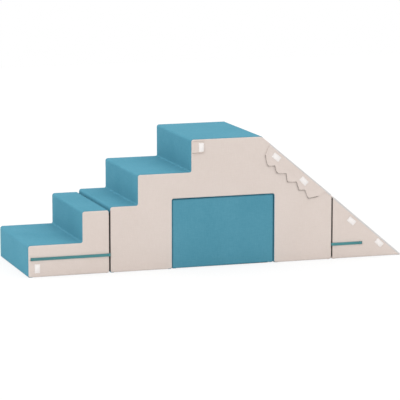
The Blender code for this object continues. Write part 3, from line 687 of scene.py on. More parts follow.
def settle(bm, edge_places, face_y, side):
    """Lays the flat face: drawn in at its rim, with slow waves and with puckers along the seam."""
    rim = []
    for start, end in zip(edge_places, edge_places[1:] + edge_places[:1]):
        rim += [start.lerp(end, k / RIM_SAMPLES) for k in range(RIM_SAMPLES)]
    tree = KDTree(len(rim))
    for index, place in enumerate(rim):
        tree.insert(place, index)
    tree.balance()
    for vert in bm.verts:
        if abs(vert.co.y - face_y) < SHOULDER * 1.01:
            nearest, found, distance = tree.find(vert.co)
            drawn = math.exp(-distance / PUCKER_REACH) * ease(distance / PUCKER_START)
            pucker = PUCKER * noise.noise(nearest / PUCKER_LENGTH) * drawn
            shoulder = SHOULDER * (1 - ease(distance / SHOULDER_REACH))
            wave = PANEL_WAVE * (0.5 + noise.noise(vert.co / WAVE_LENGTH)) * ease(distance / WAVE_REACH)
            vert.co.y = face_y - side * max(shoulder + wave - pucker, 0)


print("raster of a side panel:", RASTER / MM, "mm")

# %% The eight side panels
zips = ["stair_zip", "bridge_left_zip", "bridge_right_zip", "wedge_zip", "tunnel_block_zip"]
for body, corners, slot in (
    ("stair", STAIR, "beige_fabric"),
    ("bridge", BRIDGE, "beige_fabric"),
    ("wedge", WEDGE, "beige_fabric"),
    ("tunnel_block", BLOCK, "teal_fabric"),
):
    slots = [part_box(name) for name in zips if nodes[name]["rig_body"] == body]
    windows = [(low.x - SEAM_GAP, high.x + SEAM_GAP) for low, high in slots]
    side_panel(f"{body}_near_panel", body, corners, -1, slot)
    side_panel(f"{body}_far_panel", body, corners, 1, slot, windows)

# %% [markdown]
# ## Tapes over the edges
# A thin grey tape is bound over the long sloping edges on both sides. It is painted shade: its grey stands
# for the darker tone of these rims where they turn away from the light. The upright edges in the two joints
# carry a charcoal one, a little way round the rim, which is painted shade too: it darkens the narrow gap
# between the blocks. Both follow the round rim of the side panel, so their rows are worked out from the same
# quarter circle, lifted by a hair, and get a thickness like the rest.

# %% Edge tapes
BINDING_TURNS = [math.radians(angle) for angle in (86, 72, 58, 44, 30, 16, 4)]
WIDE_TURNS = [math.radians(angle) for angle in (86, 76, 66, 52)]
NARROW_TURNS = [math.radians(angle) for angle in (86, 81)]
BINDING_LIFT, BINDING_THICKNESS = 0.5 * MM, 0.6 * MM
BINDING_START = 57 * MM
BINDING_STEP = 5 * MM
BINDING_WAVE = 0.12 * MM
# The grey of the binding is painted shade along the sloping rims.
GREY_BINDING_SHADE = flat_material("grey_binding_painted_rim_shade", "C3C1BF", "D2CFCD", 3 * MM, 0.9, 0.2 * MM)
# The charcoal of these tapes is painted shade: it darkens the gaps in the joints.
CHARCOAL_GAP_SHADE = flat_material("charcoal_painted_gap_shade", "2A2624", "3F3937", 2 * MM, 1.0, 0.5 * MM)


def edge_tape(name, body, start, end, side, turns, material, slot):
    """A tape over a straight edge's rim, from start to end in (x, z), near for side -1 and far for 1."""
    start, end = Vector(start), Vector(end)
    count = round((end - start).length / BINDING_STEP)
    direction = (end - start).normalized()
    upward = Vector((-direction.y, direction.x))
    bm = bmesh.new()
    rows = []
    for turn in turns:
        inset, depth = rim_place(turn)
        depth += SHOULDER * (1 - depth / SEAM_INSET) ** 2
        row = []
        for k in range(count + 1):
            place = start.lerp(end, k / count) - upward * inset
            point = Vector((place.x, side * (FAR - depth), place.y))
            lift = BINDING_LIFT + BINDING_WAVE * noise.noise(point / PUCKER_LENGTH)
            normal = Vector((upward.x * math.sin(turn), side * math.cos(turn), upward.y * math.sin(turn)))
            row.append(bm.verts.new(point + normal * lift))
        rows.append(row)
    for low, high in zip(rows, rows[1:]):
        for i in range(count):
            quad = (low[i], low[i + 1], high[i + 1], high[i])
            bm.faces.new(quad if side > 0 else quad[::-1])
    piece = new_mesh_piece(name, bm, material)
    give_thickness(piece, BINDING_THICKNESS)
    finish_piece(piece, body, slot)


slide_length = math.hypot(SLIDE_RUN, PLATFORM_TOP - SLIDE_END)
wedge_length = math.hypot(TOE, WEDGE_TOP - LIFT)


def down_wedge(distance):
    """A point on the wedge's slide."""
    return (distance * math.cos(WEDGE_ANGLE), WEDGE_TOP - distance * math.sin(WEDGE_ANGLE))


for side, word in ((-1, "near"), (1, "far")):
    for name, body, start, end in (
        ("slide_binding", "bridge", down_slide(BINDING_START), down_slide(slide_length - FOOT / 2)),
        ("wedge_binding", "wedge", down_wedge(FOOT / 2), down_wedge(wedge_length - 3 * TIP)),
    ):
        ends = [(START[body] + x, z) for x, z in (start, end)]
        edge_tape(f"{name}_{word}", body, *ends, side, BINDING_TURNS, GREY_BINDING_SHADE, "white_tape")
    # The charcoal rim tapes in the joints are painted shade: they darken the gap between two blocks.
    for name, body, wall_x, facing, top, turns in (
        ("stair_edge_tape", "stair", STAIR_END, 1, STAIR_TOP_2 - NOSING, NARROW_TURNS),
        ("bridge_left_edge_tape", "bridge", 0, -1, STAIR_TOP_2 - FOOT / 2, WIDE_TURNS),
        ("bridge_right_edge_tape", "bridge", BRIDGE_END, 1, SLIDE_END - FOOT, NARROW_TURNS),
        ("wedge_edge_tape", "wedge", 0, -1, WEDGE_TOP - FOOT, WIDE_TURNS),
    ):
        ends = [(START[body] + wall_x, z) for z in (LIFT + FOOT, top)][::-facing]
        edge_tape(f"{name}_{word}", body, *ends, side, turns, CHARCOAL_GAP_SHADE, "loop_tape")

# %% [markdown]
# ## Foam cores
# Inside each cover is polyurethane foam, cut into slabs and glued. A solid of the frame already has a
# slab's shape, so each core is a merged copy of one, drawn in to leave room for the cover's thickness,
# with its cut edges eased. The tunnel block's core is drawn in further, as far as its cover has moved.
# Foam looks like fine open cells, so its material is a cell pattern, about 2 mm across, with a bump.

# %% Foam
CELL = 2 * MM
FOAM_DRAWN_IN, FOAM_EDGE = 2.2 * MM, 1.5 * MM
JOIN_WITHIN, FLAT_WITHIN = 0.02 * MM, math.radians(3)


def foam_material():
    """Open-cell polyurethane foam: cream, fully matt, with a grain of small cells."""
    material, tree, shader = new_material("pu_foam", roughness=0.97, specular_ior_level=0.2)
    cells = add(tree, "ShaderNodeTexVoronoi", {"Vector": object_place(tree), "Scale": 1 / CELL})
    dye(tree, shader, cells.outputs["Distance"], "CFC8B0", "EDE8D6")
    bump(tree, shader, cells.outputs["Distance"], 0.6, 0.5 * MM)
    return material


FOAM = foam_material()


def merged_copy(node, name):
    """An editable copy of a solid of the frame, with its loose triangles joined into faces."""
    piece = link_piece(name, nodes[node].data.copy())
    bpy.ops.object.mode_set(mode="EDIT")
    bpy.ops.mesh.select_all(action="SELECT")
    bpy.ops.mesh.remove_doubles(threshold=JOIN_WITHIN)
    bpy.ops.mesh.dissolve_limited(angle_limit=FLAT_WITHIN)
    bpy.ops.object.mode_set(mode="OBJECT")
    return piece


for node in sorted(nodes):
    if node.endswith("_foam"):
        core = merged_copy(node, node + "_core")
        core.data.materials.clear()
        core.data.materials.append(FOAM)
        shrink = core.modifiers.new("room for the cover", "DISPLACE")
        shrink.strength = -FOAM_DRAWN_IN
        shrink.mid_level = 0
        if node == "tunnel_block_foam":
            shrink.strength -= BLOCK_SHIFT
            for vert in core.data.vertices:
                vert.co.y += BLOCK_RECESS if vert.co.y < 0 else 0
        ease_edges = core.modifiers.new("eased edges", "BEVEL")
        ease_edges.width = FOAM_EDGE
        ease_edges.segments = 2
        apply_modifiers(core)
        bpy.ops.object.shade_smooth_by_angle(angle=PLATE_BEND)
        finish_piece(core, nodes[node]["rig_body"], "foam", node)

# %% [markdown]
# ## Base sheets
# Under each foot, between the turned-under ends of the cover, is a grip sheet: a tough backing with
# rubber dots on it that keep the block from sliding. The sheet is a plate with eased edges. One dot is
# modelled, and two Array modifiers repeat it over the sheet in staggered rows.

# %% Base sheets with grip dots
DOT_PITCH = 14 * MM
DOT_RADIUS = 2.6 * MM
DOT_HEIGHT, DOT_TAPER = 0.9 * MM, 0.55
FACING = 0.9
SHEET_LIFT = 0.6 * MM
SHEET_DRAWN_IN = 4 * MM
SHEET_EDGE = 0.5 * MM
SHEET_TRIM = 1.2 * MM

GRIP_BACKING = flat_material("dotted_grip_backing", "303437", "454A4E", 3 * MM, 0.9, 0.3 * MM)
GRIP_RUBBER = flat_material("grip_dot_rubber", "1F2224", "2C3033", 2 * MM, 0.6, 0.1 * MM)


def start_edit(piece):
    """Opens a piece in edit mode with nothing selected, in face mode."""
    click(piece)
    bpy.ops.object.mode_set(mode="EDIT")
    bpy.ops.mesh.select_mode(type="FACE")
    bpy.ops.mesh.select_all(action="DESELECT")


def select_faces(piece, wanted):
    """In edit mode, selects the faces for which wanted is true, and no others."""
    bpy.ops.mesh.select_all(action="DESELECT")
    bm = bmesh.from_edit_mesh(piece.data)
    for face in bm.faces:
        face.select_set(bool(wanted(face)))
    bmesh.update_edit_mesh(piece.data)


def slab(name, low, high, edge, material, segments=2):
    """A plate from its lowest to its highest corner, with rounded edges."""
    low, high = Vector(low), Vector(high)
    middle = (low + high) / 2
    piece = primitive(bpy.ops.mesh.primitive_cube_add, name, high - low, size=1, location=middle)
    start_edit(piece)
    bpy.ops.mesh.select_all(action="SELECT")
    bpy.ops.mesh.bevel(offset=edge, segments=segments, affect="EDGES")
    bpy.ops.object.mode_set(mode="OBJECT")
    bpy.ops.object.shade_smooth_by_angle(angle=PLATE_BEND)
    piece.data.materials.append(material)
    return piece


def repeat(piece, step, count):
    """Repeats a piece count times by an Array modifier, a step apart."""
    array = piece.modifiers.new("rows", "ARRAY")
    array.use_relative_offset = False
    array.use_constant_offset = True
    array.constant_offset_displace = step
    array.count = count


def grip_dots(name, low, high):
    """Staggered rows of one dot under a sheet."""
    start = (low.x + DOT_PITCH / 2, low.y + DOT_PITCH / 2, DOT_HEIGHT / 2)
    shape = {"vertices": 8, "radius": DOT_RADIUS, "depth": DOT_HEIGHT}
    dot = primitive(bpy.ops.mesh.primitive_cylinder_add, name, location=start, **shape)
    start_edit(dot)
    select_faces(dot, lambda face: face.normal.z < -FACING)
    bpy.ops.transform.resize(value=(DOT_TAPER, DOT_TAPER, 1))
    bpy.ops.mesh.select_all(action="SELECT")
    bpy.ops.mesh.duplicate_move(TRANSFORM_OT_translate={"value": (DOT_PITCH / 2, DOT_PITCH / 2, 0)})
    bpy.ops.object.mode_set(mode="OBJECT")
    repeat(dot, (DOT_PITCH, 0, 0), int((high.x - low.x - DOT_PITCH / 2) / DOT_PITCH))
    repeat(dot, (0, DOT_PITCH, 0), int((high.y - low.y - DOT_PITCH / 2) / DOT_PITCH))
    apply_modifiers(dot)
    dot.data.materials.append(GRIP_RUBBER)
    return dot


for node in sorted(nodes):
    if node.endswith("_base"):
        body = nodes[node]["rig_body"]
        low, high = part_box(node)
        low.z = SHEET_LIFT
        drawn_in = SHEET_DRAWN_IN + (BLOCK_RECESS if body == "tunnel_block" else 0)
        low.y, high.y = low.y + drawn_in, high.y - drawn_in
        sheet = slab(node + "_grip_sheet", low, high - Vector((0, 0, SHEET_TRIM)), SHEET_EDGE, GRIP_BACKING)
        finish_piece(sheet, body, "base_sheet", node)
        finish_piece(grip_dots(node + "_grip_dots", low, high), body, "base_sheet")

# %% [markdown]
# ## Webbing
# Flat webbing bands are sewn to the bridge's two end walls. Their free ends fold round onto the
# neighbouring blocks and press onto loop tape. Woven polypropylene webbing is thick at once, with rounded
# selvedges and fine ribs along it, and a free end is turned back on itself and stitched down, so it is a
# double layer there.

# %% Webbing and loop tape
RIB = 2.2 * MM
HEM, HEM_RISE, HEM_EDGE, HEM_FACING = 13 * MM, 1.1 * MM, 0.35 * MM, 0.95
SELVEDGE, PILE_EDGE = 0.6 * MM, 0.3 * MM


def webbing_material(name, dark, light):
    """Woven polypropylene webbing: a satin sheen, with ribs about 2 mm apart along the band."""
    material, tree, shader = new_material(name, roughness=0.62, sheen_weight=0.1)
    ribs = weave(tree, object_place(tree), RIB, 0.3, "ZX")
    share = add(tree, "ShaderNodeMath", {0: ribs, 1: 0.5}, operation="MULTIPLY")
    dye(tree, shader, share.outputs[0], dark, light)
    bump(tree, shader, ribs, 0.7, 0.3 * MM)
    return material


STRAP_RISE, STRAP_TRIM = 4 * MM, 1 * MM
WEBBING = webbing_material("teal_pp_webbing", "387F83", "4E9599")
LOOP_TAPE = flat_material("brushed_loop_tape", "387A82", "4D9098", 2.5 * MM, 1.0, 0.6 * MM, sheen_weight=0.3)


def strap_box(node):
    """The box of a band: its solid's, set a little higher and trimmed at both edges."""
    low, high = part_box(node)
    return low + Vector((0, 0, STRAP_RISE + STRAP_TRIM)), high + Vector((0, 0, STRAP_RISE - STRAP_TRIM))


def webbing(node):
    """A plain band of webbing in a solid's place."""
    return slab(node + "_webbing", *strap_box(node), SELVEDGE, WEBBING, segments=3)


def strap(node, free_end, outward):
    """A strap end with its folded hem. free_end is -1 where it points to -X, and outward its side."""
    low, high = strap_box(node)
    band = webbing(node)
    hem_start = high.x - HEM if free_end > 0 else low.x + HEM
    start_edit(band)
    bpy.ops.mesh.select_all(action="SELECT")
    bpy.ops.mesh.bisect(plane_co=(hem_start, 0, 0), plane_no=(1, 0, 0))

    def on_hem(face):
        """Whether a face lies on the hem's outer side."""
        past_start = (face.calc_center_median().x - hem_start) * free_end > 0
        return past_start and face.normal.y * outward > HEM_FACING

    select_faces(band, on_hem)
    bpy.ops.mesh.extrude_region_move(TRANSFORM_OT_translate={"value": (0, outward * HEM_RISE, 0)})
    bpy.ops.mesh.bevel(offset=HEM_EDGE, segments=2, affect="EDGES")
    bpy.ops.object.mode_set(mode="OBJECT")
    finish_piece(band, nodes[node]["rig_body"], "teal_webbing", node)


for block, free_end in (("stair", -1), ("wedge", 1)):
    for side, outward in (("near", -1), ("far", 1)):
        strap(f"{block}_strap_{side}", free_end, outward)
        node = f"{block}_loop_tape_{side}"
        tape = slab(node + "_pile", *strap_box(node), PILE_EDGE, LOOP_TAPE)
        finish_piece(tape, nodes[node]["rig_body"], "loop_tape", node)
    node = f"{block}_joint_band"
    finish_piece(webbing(node), nodes[node]["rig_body"], "teal_webbing", node)

# %% [markdown]
# ## Dark tapes in the joints
# Upright charcoal tapes stand on the two walls of each joint, just behind their round edges. They are
# painted shade: they darken the narrow gap between the blocks, so that each joint shows as a dark line.
# On the bridge's walls they leave room for the webbing band.

# %% Joint tapes
JOINT_TAPE_WIDTH, JOINT_TAPE_THICKNESS, JOINT_TAPE_LIFT = 25 * MM, 1.3 * MM, 0.1 * MM
JOINT_TAPE_FOOT, JOINT_TAPE_BELOW_TOP = 14 * MM, 15 * MM
BAND_ROOM = 3 * MM


def joint_tapes(block, body, wall_x, facing, spans):
    """Upright tapes on a wall that faces +X (1) or -X (-1), near and far, one for each span of heights."""
    near_x = wall_x + facing * JOINT_TAPE_LIFT
    far_x = near_x + facing * JOINT_TAPE_THICKNESS
    for side, word in ((-1, "near"), (1, "far")):
        outer = side * (FAR - SEAM_INSET - SEAM_GAP)
        inner = outer - side * JOINT_TAPE_WIDTH
        for index, (foot, top) in enumerate(spans):
            low = Vector((min(near_x, far_x), min(outer, inner), foot))
            high = Vector((max(near_x, far_x), max(outer, inner), top))
            name = f"{block}_joint_tape_{body}_{word}_{index + 1}"
            finish_piece(slab(name, low, high, PILE_EDGE, CHARCOAL_GAP_SHADE), body, "loop_tape")


for block, bridge_wall, block_wall, facing, wall_top in (
    ("stair", START["bridge"], START["stair"] + STAIR_END, 1, STAIR_TOP_2),
    ("wedge", START["bridge"] + BRIDGE_END, START["wedge"], -1, WEDGE_TOP),
):
    tape_top = wall_top - JOINT_TAPE_BELOW_TOP
    band_low, band_high = strap_box(f"{block}_joint_band")
    joint_tapes(block, block, block_wall, facing, [(JOINT_TAPE_FOOT, tape_top)])
    spans = [(JOINT_TAPE_FOOT, band_low.z - BAND_ROOM), (band_high.z + BAND_ROOM, tape_top)]
    joint_tapes(block, "bridge", bridge_wall, -facing, spans)

# %% [markdown]
# ## Stitches
# Stitches hold all of this together. A stitch is a short thread that dives into the cloth at both ends,
# so one small spindle of two dozen faces is enough. A function sets it along a line of places. Real
# stitches are 3 to 4 mm long. Here they are 5 mm, so that a few of them still show from a distance. A
# strap's hem is held by four close rows at its end and by one where the fold begins.

# %% Rows of stitches
STITCH_PITCH = 7 * MM
STITCH_LENGTH = 5 * MM
THREAD_RADIUS = 0.4 * MM
THREAD_SIDES = 6
SPINDLE = ((-0.5, 0.0), (-0.36, 0.8), (0.0, 1.0), (0.36, 0.8), (0.5, 0.0))

# The teal thread is darker than the cloth: partly the thread's own colour, partly painted shade for the
# crease along each seam.
TEAL_THREAD_AND_SEAM_SHADE = flat_material("teal_thread_painted_seam_shade", "2F6C7C", "3F7F8F", 1.5 * MM, 0.55, 0.1 * MM)
BEIGE_THREAD = flat_material("beige_polyester_thread", "C2B5AB", "D2C6BC", 1.5 * MM, 0.55, 0.1 * MM)


def evenly(points, pitch):
    """Places every pitch along a polyline of (place, normal), with the direction there."""
    found = []
    left = pitch / 2
    for (start, normal), (end, end_normal) in zip(points, points[1:]):
        length = (end - start).length
        while left < length:
            share = left / length
            found.append((start.lerp(end, share), normal.lerp(end_normal, share), (end - start) / length))
            left += pitch
        left -= length
    return found


def thread_piece(name, body, verts, faces, material, slot):
    """One piece from the corners and faces of many threads, shaded smooth, its faces pointing out."""
    mesh = bpy.data.meshes.new(name)
    mesh.from_pydata(verts, [], faces)
    mesh.materials.append(material)
    piece = link_piece(name, mesh)
    bpy.ops.object.mode_set(mode="EDIT")
    bpy.ops.mesh.select_all(action="SELECT")
    bpy.ops.mesh.normals_make_consistent(inside=False)
    bpy.ops.object.mode_set(mode="OBJECT")
    bpy.ops.object.shade_smooth()
    finish_piece(piece, body, slot)


def stitches(name, body, lines, material, slot):
    """One piece with a stitch at every pitch along each line of (place, normal)."""
    verts, faces = [], []
    for line in lines:
        for place, normal, direction in evenly(line, STITCH_PITCH):
            side = direction.cross(normal).normalized()
            up = side.cross(direction).normalized()
            base = len(verts)
            verts.append(place + direction * SPINDLE[0][0] * STITCH_LENGTH)
            for along, width in SPINDLE[1:-1]:
                for k in range(THREAD_SIDES):
                    angle = 2 * math.pi * k / THREAD_SIDES
                    spoke = (side * math.cos(angle) + up * math.sin(angle)) * THREAD_RADIUS * width
                    verts.append(place + direction * along * STITCH_LENGTH + spoke)
            verts.append(place + direction * SPINDLE[-1][0] * STITCH_LENGTH)
            last = len(verts) - 1
            for k in range(THREAD_SIDES):
                after = (k + 1) % THREAD_SIDES
                faces.append((base, base + 1 + k, base + 1 + after))
                for hoop in (1, 1 + THREAD_SIDES):
                    corner = base + hoop
                    far = corner + THREAD_SIDES
                    faces.append((corner + k, far + k, far + after, corner + after))
                faces.append((last, last - THREAD_SIDES + after, last - THREAD_SIDES + k))
    thread_piece(name, body, verts, faces, material, slot)


for name, (slot, corners) in strips.items():
    body = nodes[name]["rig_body"]
    rows = []
    for side in (-1, 1):
        y = face_of(body, side) - side * (SEAM_INSET + TOPSTITCH_INSET)
        rows.append([(Vector((x, y, z)), Vector((n.x, 0, n.y))) for x, z, n in seam_lines[name]])
    thread = TEAL_THREAD_AND_SEAM_SHADE if slot == "teal_fabric" else BEIGE_THREAD
    stitches(name + "_topstitch", body, rows, thread, slot)

# %% Hems of the straps
HEM_ROWS = (0.8 * MM, 1.8 * MM, 2.8 * MM, 3.8 * MM, 11.5 * MM)
# The bar-tack thread is far darker than the webbing: partly real stitching, partly painted shade at the
# strap's free end.
HEM_THREAD_AND_END_SHADE = flat_material("dark_teal_bar_tack_painted_end_shade", "1F4A50", "2C5D63", 1.5 * MM, 0.55, 0.1 * MM)

for block, free_end in (("stair", -1), ("wedge", 1)):
    for side, outward in (("near", -1), ("far", 1)):
        node = f"{block}_strap_{side}"
        low, high = strap_box(node)
        end = high.x if free_end > 0 else low.x
        y = (high.y if outward > 0 else low.y) + outward * HEM_RISE
        out = Vector((0, outward, 0))
        rows = []
        for inset in HEM_ROWS:
            x = end - free_end * inset
            rows.append([(Vector((x, y, low.z)), out), (Vector((x, y, high.z)), out)])
        stitches(node + "_hem_stitches", nodes[node]["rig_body"], rows, HEM_THREAD_AND_END_SHADE, "teal_webbing")

# %% [markdown]
# ## Zigzag flap and corner tab
# Two flaps of doubled cloth hang on the near side. The zigzag one is sewn along the edge of the slide,
# and its lower edge stands a few millimetres off the panel, which draws a dark line under it. Each starts
# as its outline with rounded points, is cut by a fine raster so that it can bend, and then gets its
# thickness.

# %% Flap shapes
FLAP_RASTER, FLAP_CUT_REACH = 3 * MM, 0.8 * MM
FLAP_THICKNESS, FLAP_ROUNDING = 1.8 * MM, 0.5 * MM
FLAP_CENTRE = NEAR - 1.1 * MM
FLAP_EDGE = 6 * MM
POINT_RADIUS = 0.6 * MM
FLAP_START, FLAP_END = 58 * MM, 424 * MM
SHOULDER_PLACE, SHOULDER_DEPTH = 71.9 * MM, 58.5 * MM
TAIL_PLACE, TAIL_DEPTH = 406.2 * MM, 49.1 * MM
# Points and notches are in millimetres: the distance down the slide and the depth below it.
POINTS = ((114.4, 89), (169.4, 87.2), (238.5, 87.5), (309.6, 82.5), (372.8, 84.6))
NOTCHES = ((140, 67), (210.1, 61.1), (275.9, 60.8), (333.8, 64.7))
POINT_LIFT, POINT_FROM, POINT_REACH = 3.2 * MM, 44 * MM, 38 * MM
START_LIFT, START_LENGTH, START_FROM, START_REACH = 2.4 * MM, 22 * MM, 22 * MM, 28 * MM
FADE, FADE_FROM, FADE_REACH = 0.7, 330 * MM, 90 * MM
FLAP_WAVE, FLAP_WAVE_LENGTH, FLAP_WAVE_FROM, FLAP_WAVE_REACH = 0.5 * MM, 45 * MM, 20 * MM, 40 * MM


def zigzag():
    """The flap's outline as (distance down the slide, depth below it, corner radius)."""
    zigzag_places = [(place * MM, depth * MM, POINT_RADIUS) for place, depth in POINTS + NOTCHES]
    start = [(FLAP_START, FLAP_EDGE, 1 * MM), (SHOULDER_PLACE, SHOULDER_DEPTH, 9 * MM)]
    return [*start, *sorted(zigzag_places), (TAIL_PLACE, TAIL_DEPTH, 6 * MM), (FLAP_END, FLAP_EDGE, 1 * MM)]


def on_slide(distance, depth, y):
    """A point on the bridge's near side, measured down the slide and below it."""
    x, z = down_slide(distance)
    place_x = START["bridge"] + x - depth * math.sin(SLIDE_ANGLE)
    return Vector((place_x, y, z - depth * math.cos(SLIDE_ANGLE)))


def flap_lift(distance, depth):
    """How far the zigzag flap stands off the panel: nothing at its sewn edge, most at its points."""
    lower = POINT_LIFT * ease((depth - POINT_FROM) / POINT_REACH)
    start = START_LIFT * ease((FLAP_START + START_LENGTH - distance) / START_LENGTH)
    start *= ease((depth - START_FROM) / START_REACH)
    wave = FLAP_WAVE * noise.noise(Vector((distance, depth, 0)) / FLAP_WAVE_LENGTH)
    wave *= ease((depth - FLAP_WAVE_FROM) / FLAP_WAVE_REACH)
    return (max(lower, start) + wave) * (1 - FADE * ease((distance - FADE_FROM) / FADE_REACH))


def cut_sheet(outline):
    """A flat sheet in (u, v, 0) with an outline of (u, v, radius) corners, cut by a fine raster."""
    bm = bmesh.new()
    bm.faces.new([bm.verts.new((u, v, 0)) for u, v in ring(outline, 0)])
    for axis, normal in enumerate(((1, 0, 0), (0, 1, 0))):
        places = [corner[axis] for corner in outline]
        start, length = min(places), max(places) - min(places)
        count = round(length / FLAP_RASTER)
        for k in range(1, count):
            cut(bm, normal, start + length * k / count, FLAP_CUT_REACH)
    return bm


def flap(node, outline, place):
    """A solid's flap: a cut sheet, doubled, and bent into place by place(u, v)."""
    bm = cut_sheet(outline)
    area = sum(face.calc_area() for face in bm.faces)
    for vert in bm.verts:
        vert.co = place(vert.co.x, vert.co.y)
    bm.normal_update()
    if sum(face.normal.y for face in bm.faces) > 0:
        bmesh.ops.reverse_faces(bm, faces=bm.faces[:])
    piece = new_mesh_piece(node + "_cloth", bm, CLOTHS["beige_fabric"])
    rounded = piece.modifiers.new("doubled cloth", "SOLIDIFY")
    rounded.thickness = FLAP_THICKNESS
    rounded.offset = 0
    edge = piece.modifiers.new("turned edge", "BEVEL")
    edge.width = FLAP_ROUNDING
    edge.segments = 2
    edge.limit_method = "ANGLE"
    apply_modifiers(piece)
    bpy.ops.object.shade_smooth_by_angle(angle=CLOTH_BEND)
    finish_piece(piece, nodes[node]["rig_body"], "beige_fabric", node)
    print(f"{node}: {area / MM**2 / 100:.0f} square centimetres of doubled cloth")


def ridge_place(distance, depth):
    """Where a point of the zigzag flap lies."""
    return on_slide(distance, depth, FLAP_CENTRE - flap_lift(distance, depth))


flap("ridge_flap", zigzag(), ridge_place)

# %% Overlocked edges
LOOP_PITCH = 1.7 * MM
LOOP_REACH, LOOP_OVER = 4 * MM, 0.5 * MM
LOOP_THREAD = 0.5 * MM
LOOP_LEAN, LOOP_RISE = 1.2 * MM, 0.62 * FLAP_THICKNESS
LOOP_POINTS, LOOP_SIDES = 10, 4
# The taupe overlock is partly real edge stitching and partly painted shadow: its dark tone deepens the line
# that the lifted edge of the zigzag flap throws on the panel.
TAUPE_THREAD_AND_FLAP_SHADOW = flat_material("taupe_overlock_painted_flap_shadow", "6E635C", "857A72", 1.5 * MM, 0.7, 0.1 * MM)


def overlock(body, points, material):
    """Loops of thread round a flap's cut edge, along points of (place, direction out of the edge)."""
    verts, faces = [], []
    normal = Vector((0, -1, 0))
    for place, outward, direction in evenly(points, LOOP_PITCH):
        outward = outward.normalized()
        middle = place + outward * (LOOP_OVER - LOOP_REACH / 2)
        base = len(verts)
        for i in range(LOOP_POINTS):
            turn = 2 * math.pi * i / LOOP_POINTS
            spoke = outward * math.cos(turn) * LOOP_REACH / 2 + normal * math.sin(turn) * LOOP_RISE
            centre = middle + spoke + direction * LOOP_LEAN * math.sin(turn) / 2
            out = spoke.normalized()
            for k in range(LOOP_SIDES):
                angle = 2 * math.pi * k / LOOP_SIDES
                verts.append(centre + (out * math.cos(angle) + direction * math.sin(angle)) * LOOP_THREAD)
        for i in range(LOOP_POINTS):
            here, there = base + i * LOOP_SIDES, base + (i + 1) % LOOP_POINTS * LOOP_SIDES
            for k in range(LOOP_SIDES):
                after = (k + 1) % LOOP_SIDES
                faces.append((here + k, here + after, there + after, there + k))
    thread_piece(body + "_overlock", body, verts, faces, material, "beige_fabric")


def edge_points(outline, place, first, last):
    """A flap's edge between two of its corners, bent into place, with the way out of the cloth."""
    flat = ring(outline, 0)
    start, end = first * (CORNER_STEPS + 1), last * (CORNER_STEPS + 1) + CORNER_STEPS
    points = []
    for i in range(start, end + 1):
        along = (flat[min(i + 1, end)] - flat[max(i - 1, start)]).normalized()
        outward = Vector((-along.y, along.x))
        here = place(*flat[i])
        there = place(*(flat[i] + outward * MM))
        points.append((here, (there - here).normalized()))
    return points


ridge_edge = edge_points(zigzag(), ridge_place, 1, len(zigzag()) - 2)
overlock("ridge_flap", ridge_edge, TAUPE_THREAD_AND_FLAP_SHADOW)

# %% Corner tab
TAB_LOW, TAB_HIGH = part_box("corner_tab")
TAB_RADIUS = 3 * MM
TAB_RISE, TAB_TRIM = 5 * MM, 4 * MM
TAB_END_LIFT, TAB_FOOT_LIFT, TAB_FOOT_FROM, TAB_FOOT_REACH = 1.6 * MM, 1.2 * MM, 30 * MM, 22 * MM


def tab_lift(u, v):
    """How far the tab stands off the panel towards its free end and its lower edge."""
    free_end = TAB_END_LIFT * ease(u / (TAB_HIGH.x - TAB_LOW.x))
    return free_end + TAB_FOOT_LIFT * ease((v - TAB_FOOT_FROM) / TAB_FOOT_REACH)


def tab_place(u, v):
    """Where a point of the tab lies, u from its sewn edge and v down."""
    return Vector((TAB_LOW.x + u, FLAP_CENTRE - tab_lift(u, v), TAB_HIGH.z - v))


tab_width, tab_foot = TAB_HIGH.x - TAB_LOW.x, TAB_HIGH.z - TAB_LOW.z - TAB_TRIM
tab_corners = [(0, -TAB_RISE), (0, tab_foot), (tab_width, tab_foot), (tab_width, -TAB_RISE)]
tab_outline = [(u, v, TAB_RADIUS) for u, v in tab_corners]
flap("corner_tab", tab_outline, tab_place)
overlock("corner_tab", edge_points(tab_outline, tab_place, 1, 3), BEIGE_THREAD)
print(f"corner tab: {tab_width / MM:.1f} by {(tab_foot + TAB_RISE) / MM:.1f} mm")

# %% [markdown]
# ## White patches
# Six small patches of white hook tape are sewn to the near side. One is modelled: a plane with rounded
# corners, an eased edge and a shallow groove where the stitches pull it down. The others are copies with
# their own mesh, each turned and moved to its place.

# %% Patches
PATCH_LENGTH, PATCH_WIDTH, PATCH_THICKNESS = 42 * MM, 26 * MM, 0.9 * MM
PATCH_CORNER = 2.6 * MM
PATCH_STITCH_INSET = 1.7 * MM
PATCH_INSETS = ((0.4, 0.36), (0.9, 0.0), (0.4, -0.25), (0.4, 0.25))  # width and rise, in millimetres
TAB_PATCH_DEPTH = 20 * MM
HOOK_TAPE = flat_material("white_hook_tape", "E9E3E0", "F6F2F0", 1.6 * MM, 0.8, 0.35 * MM)


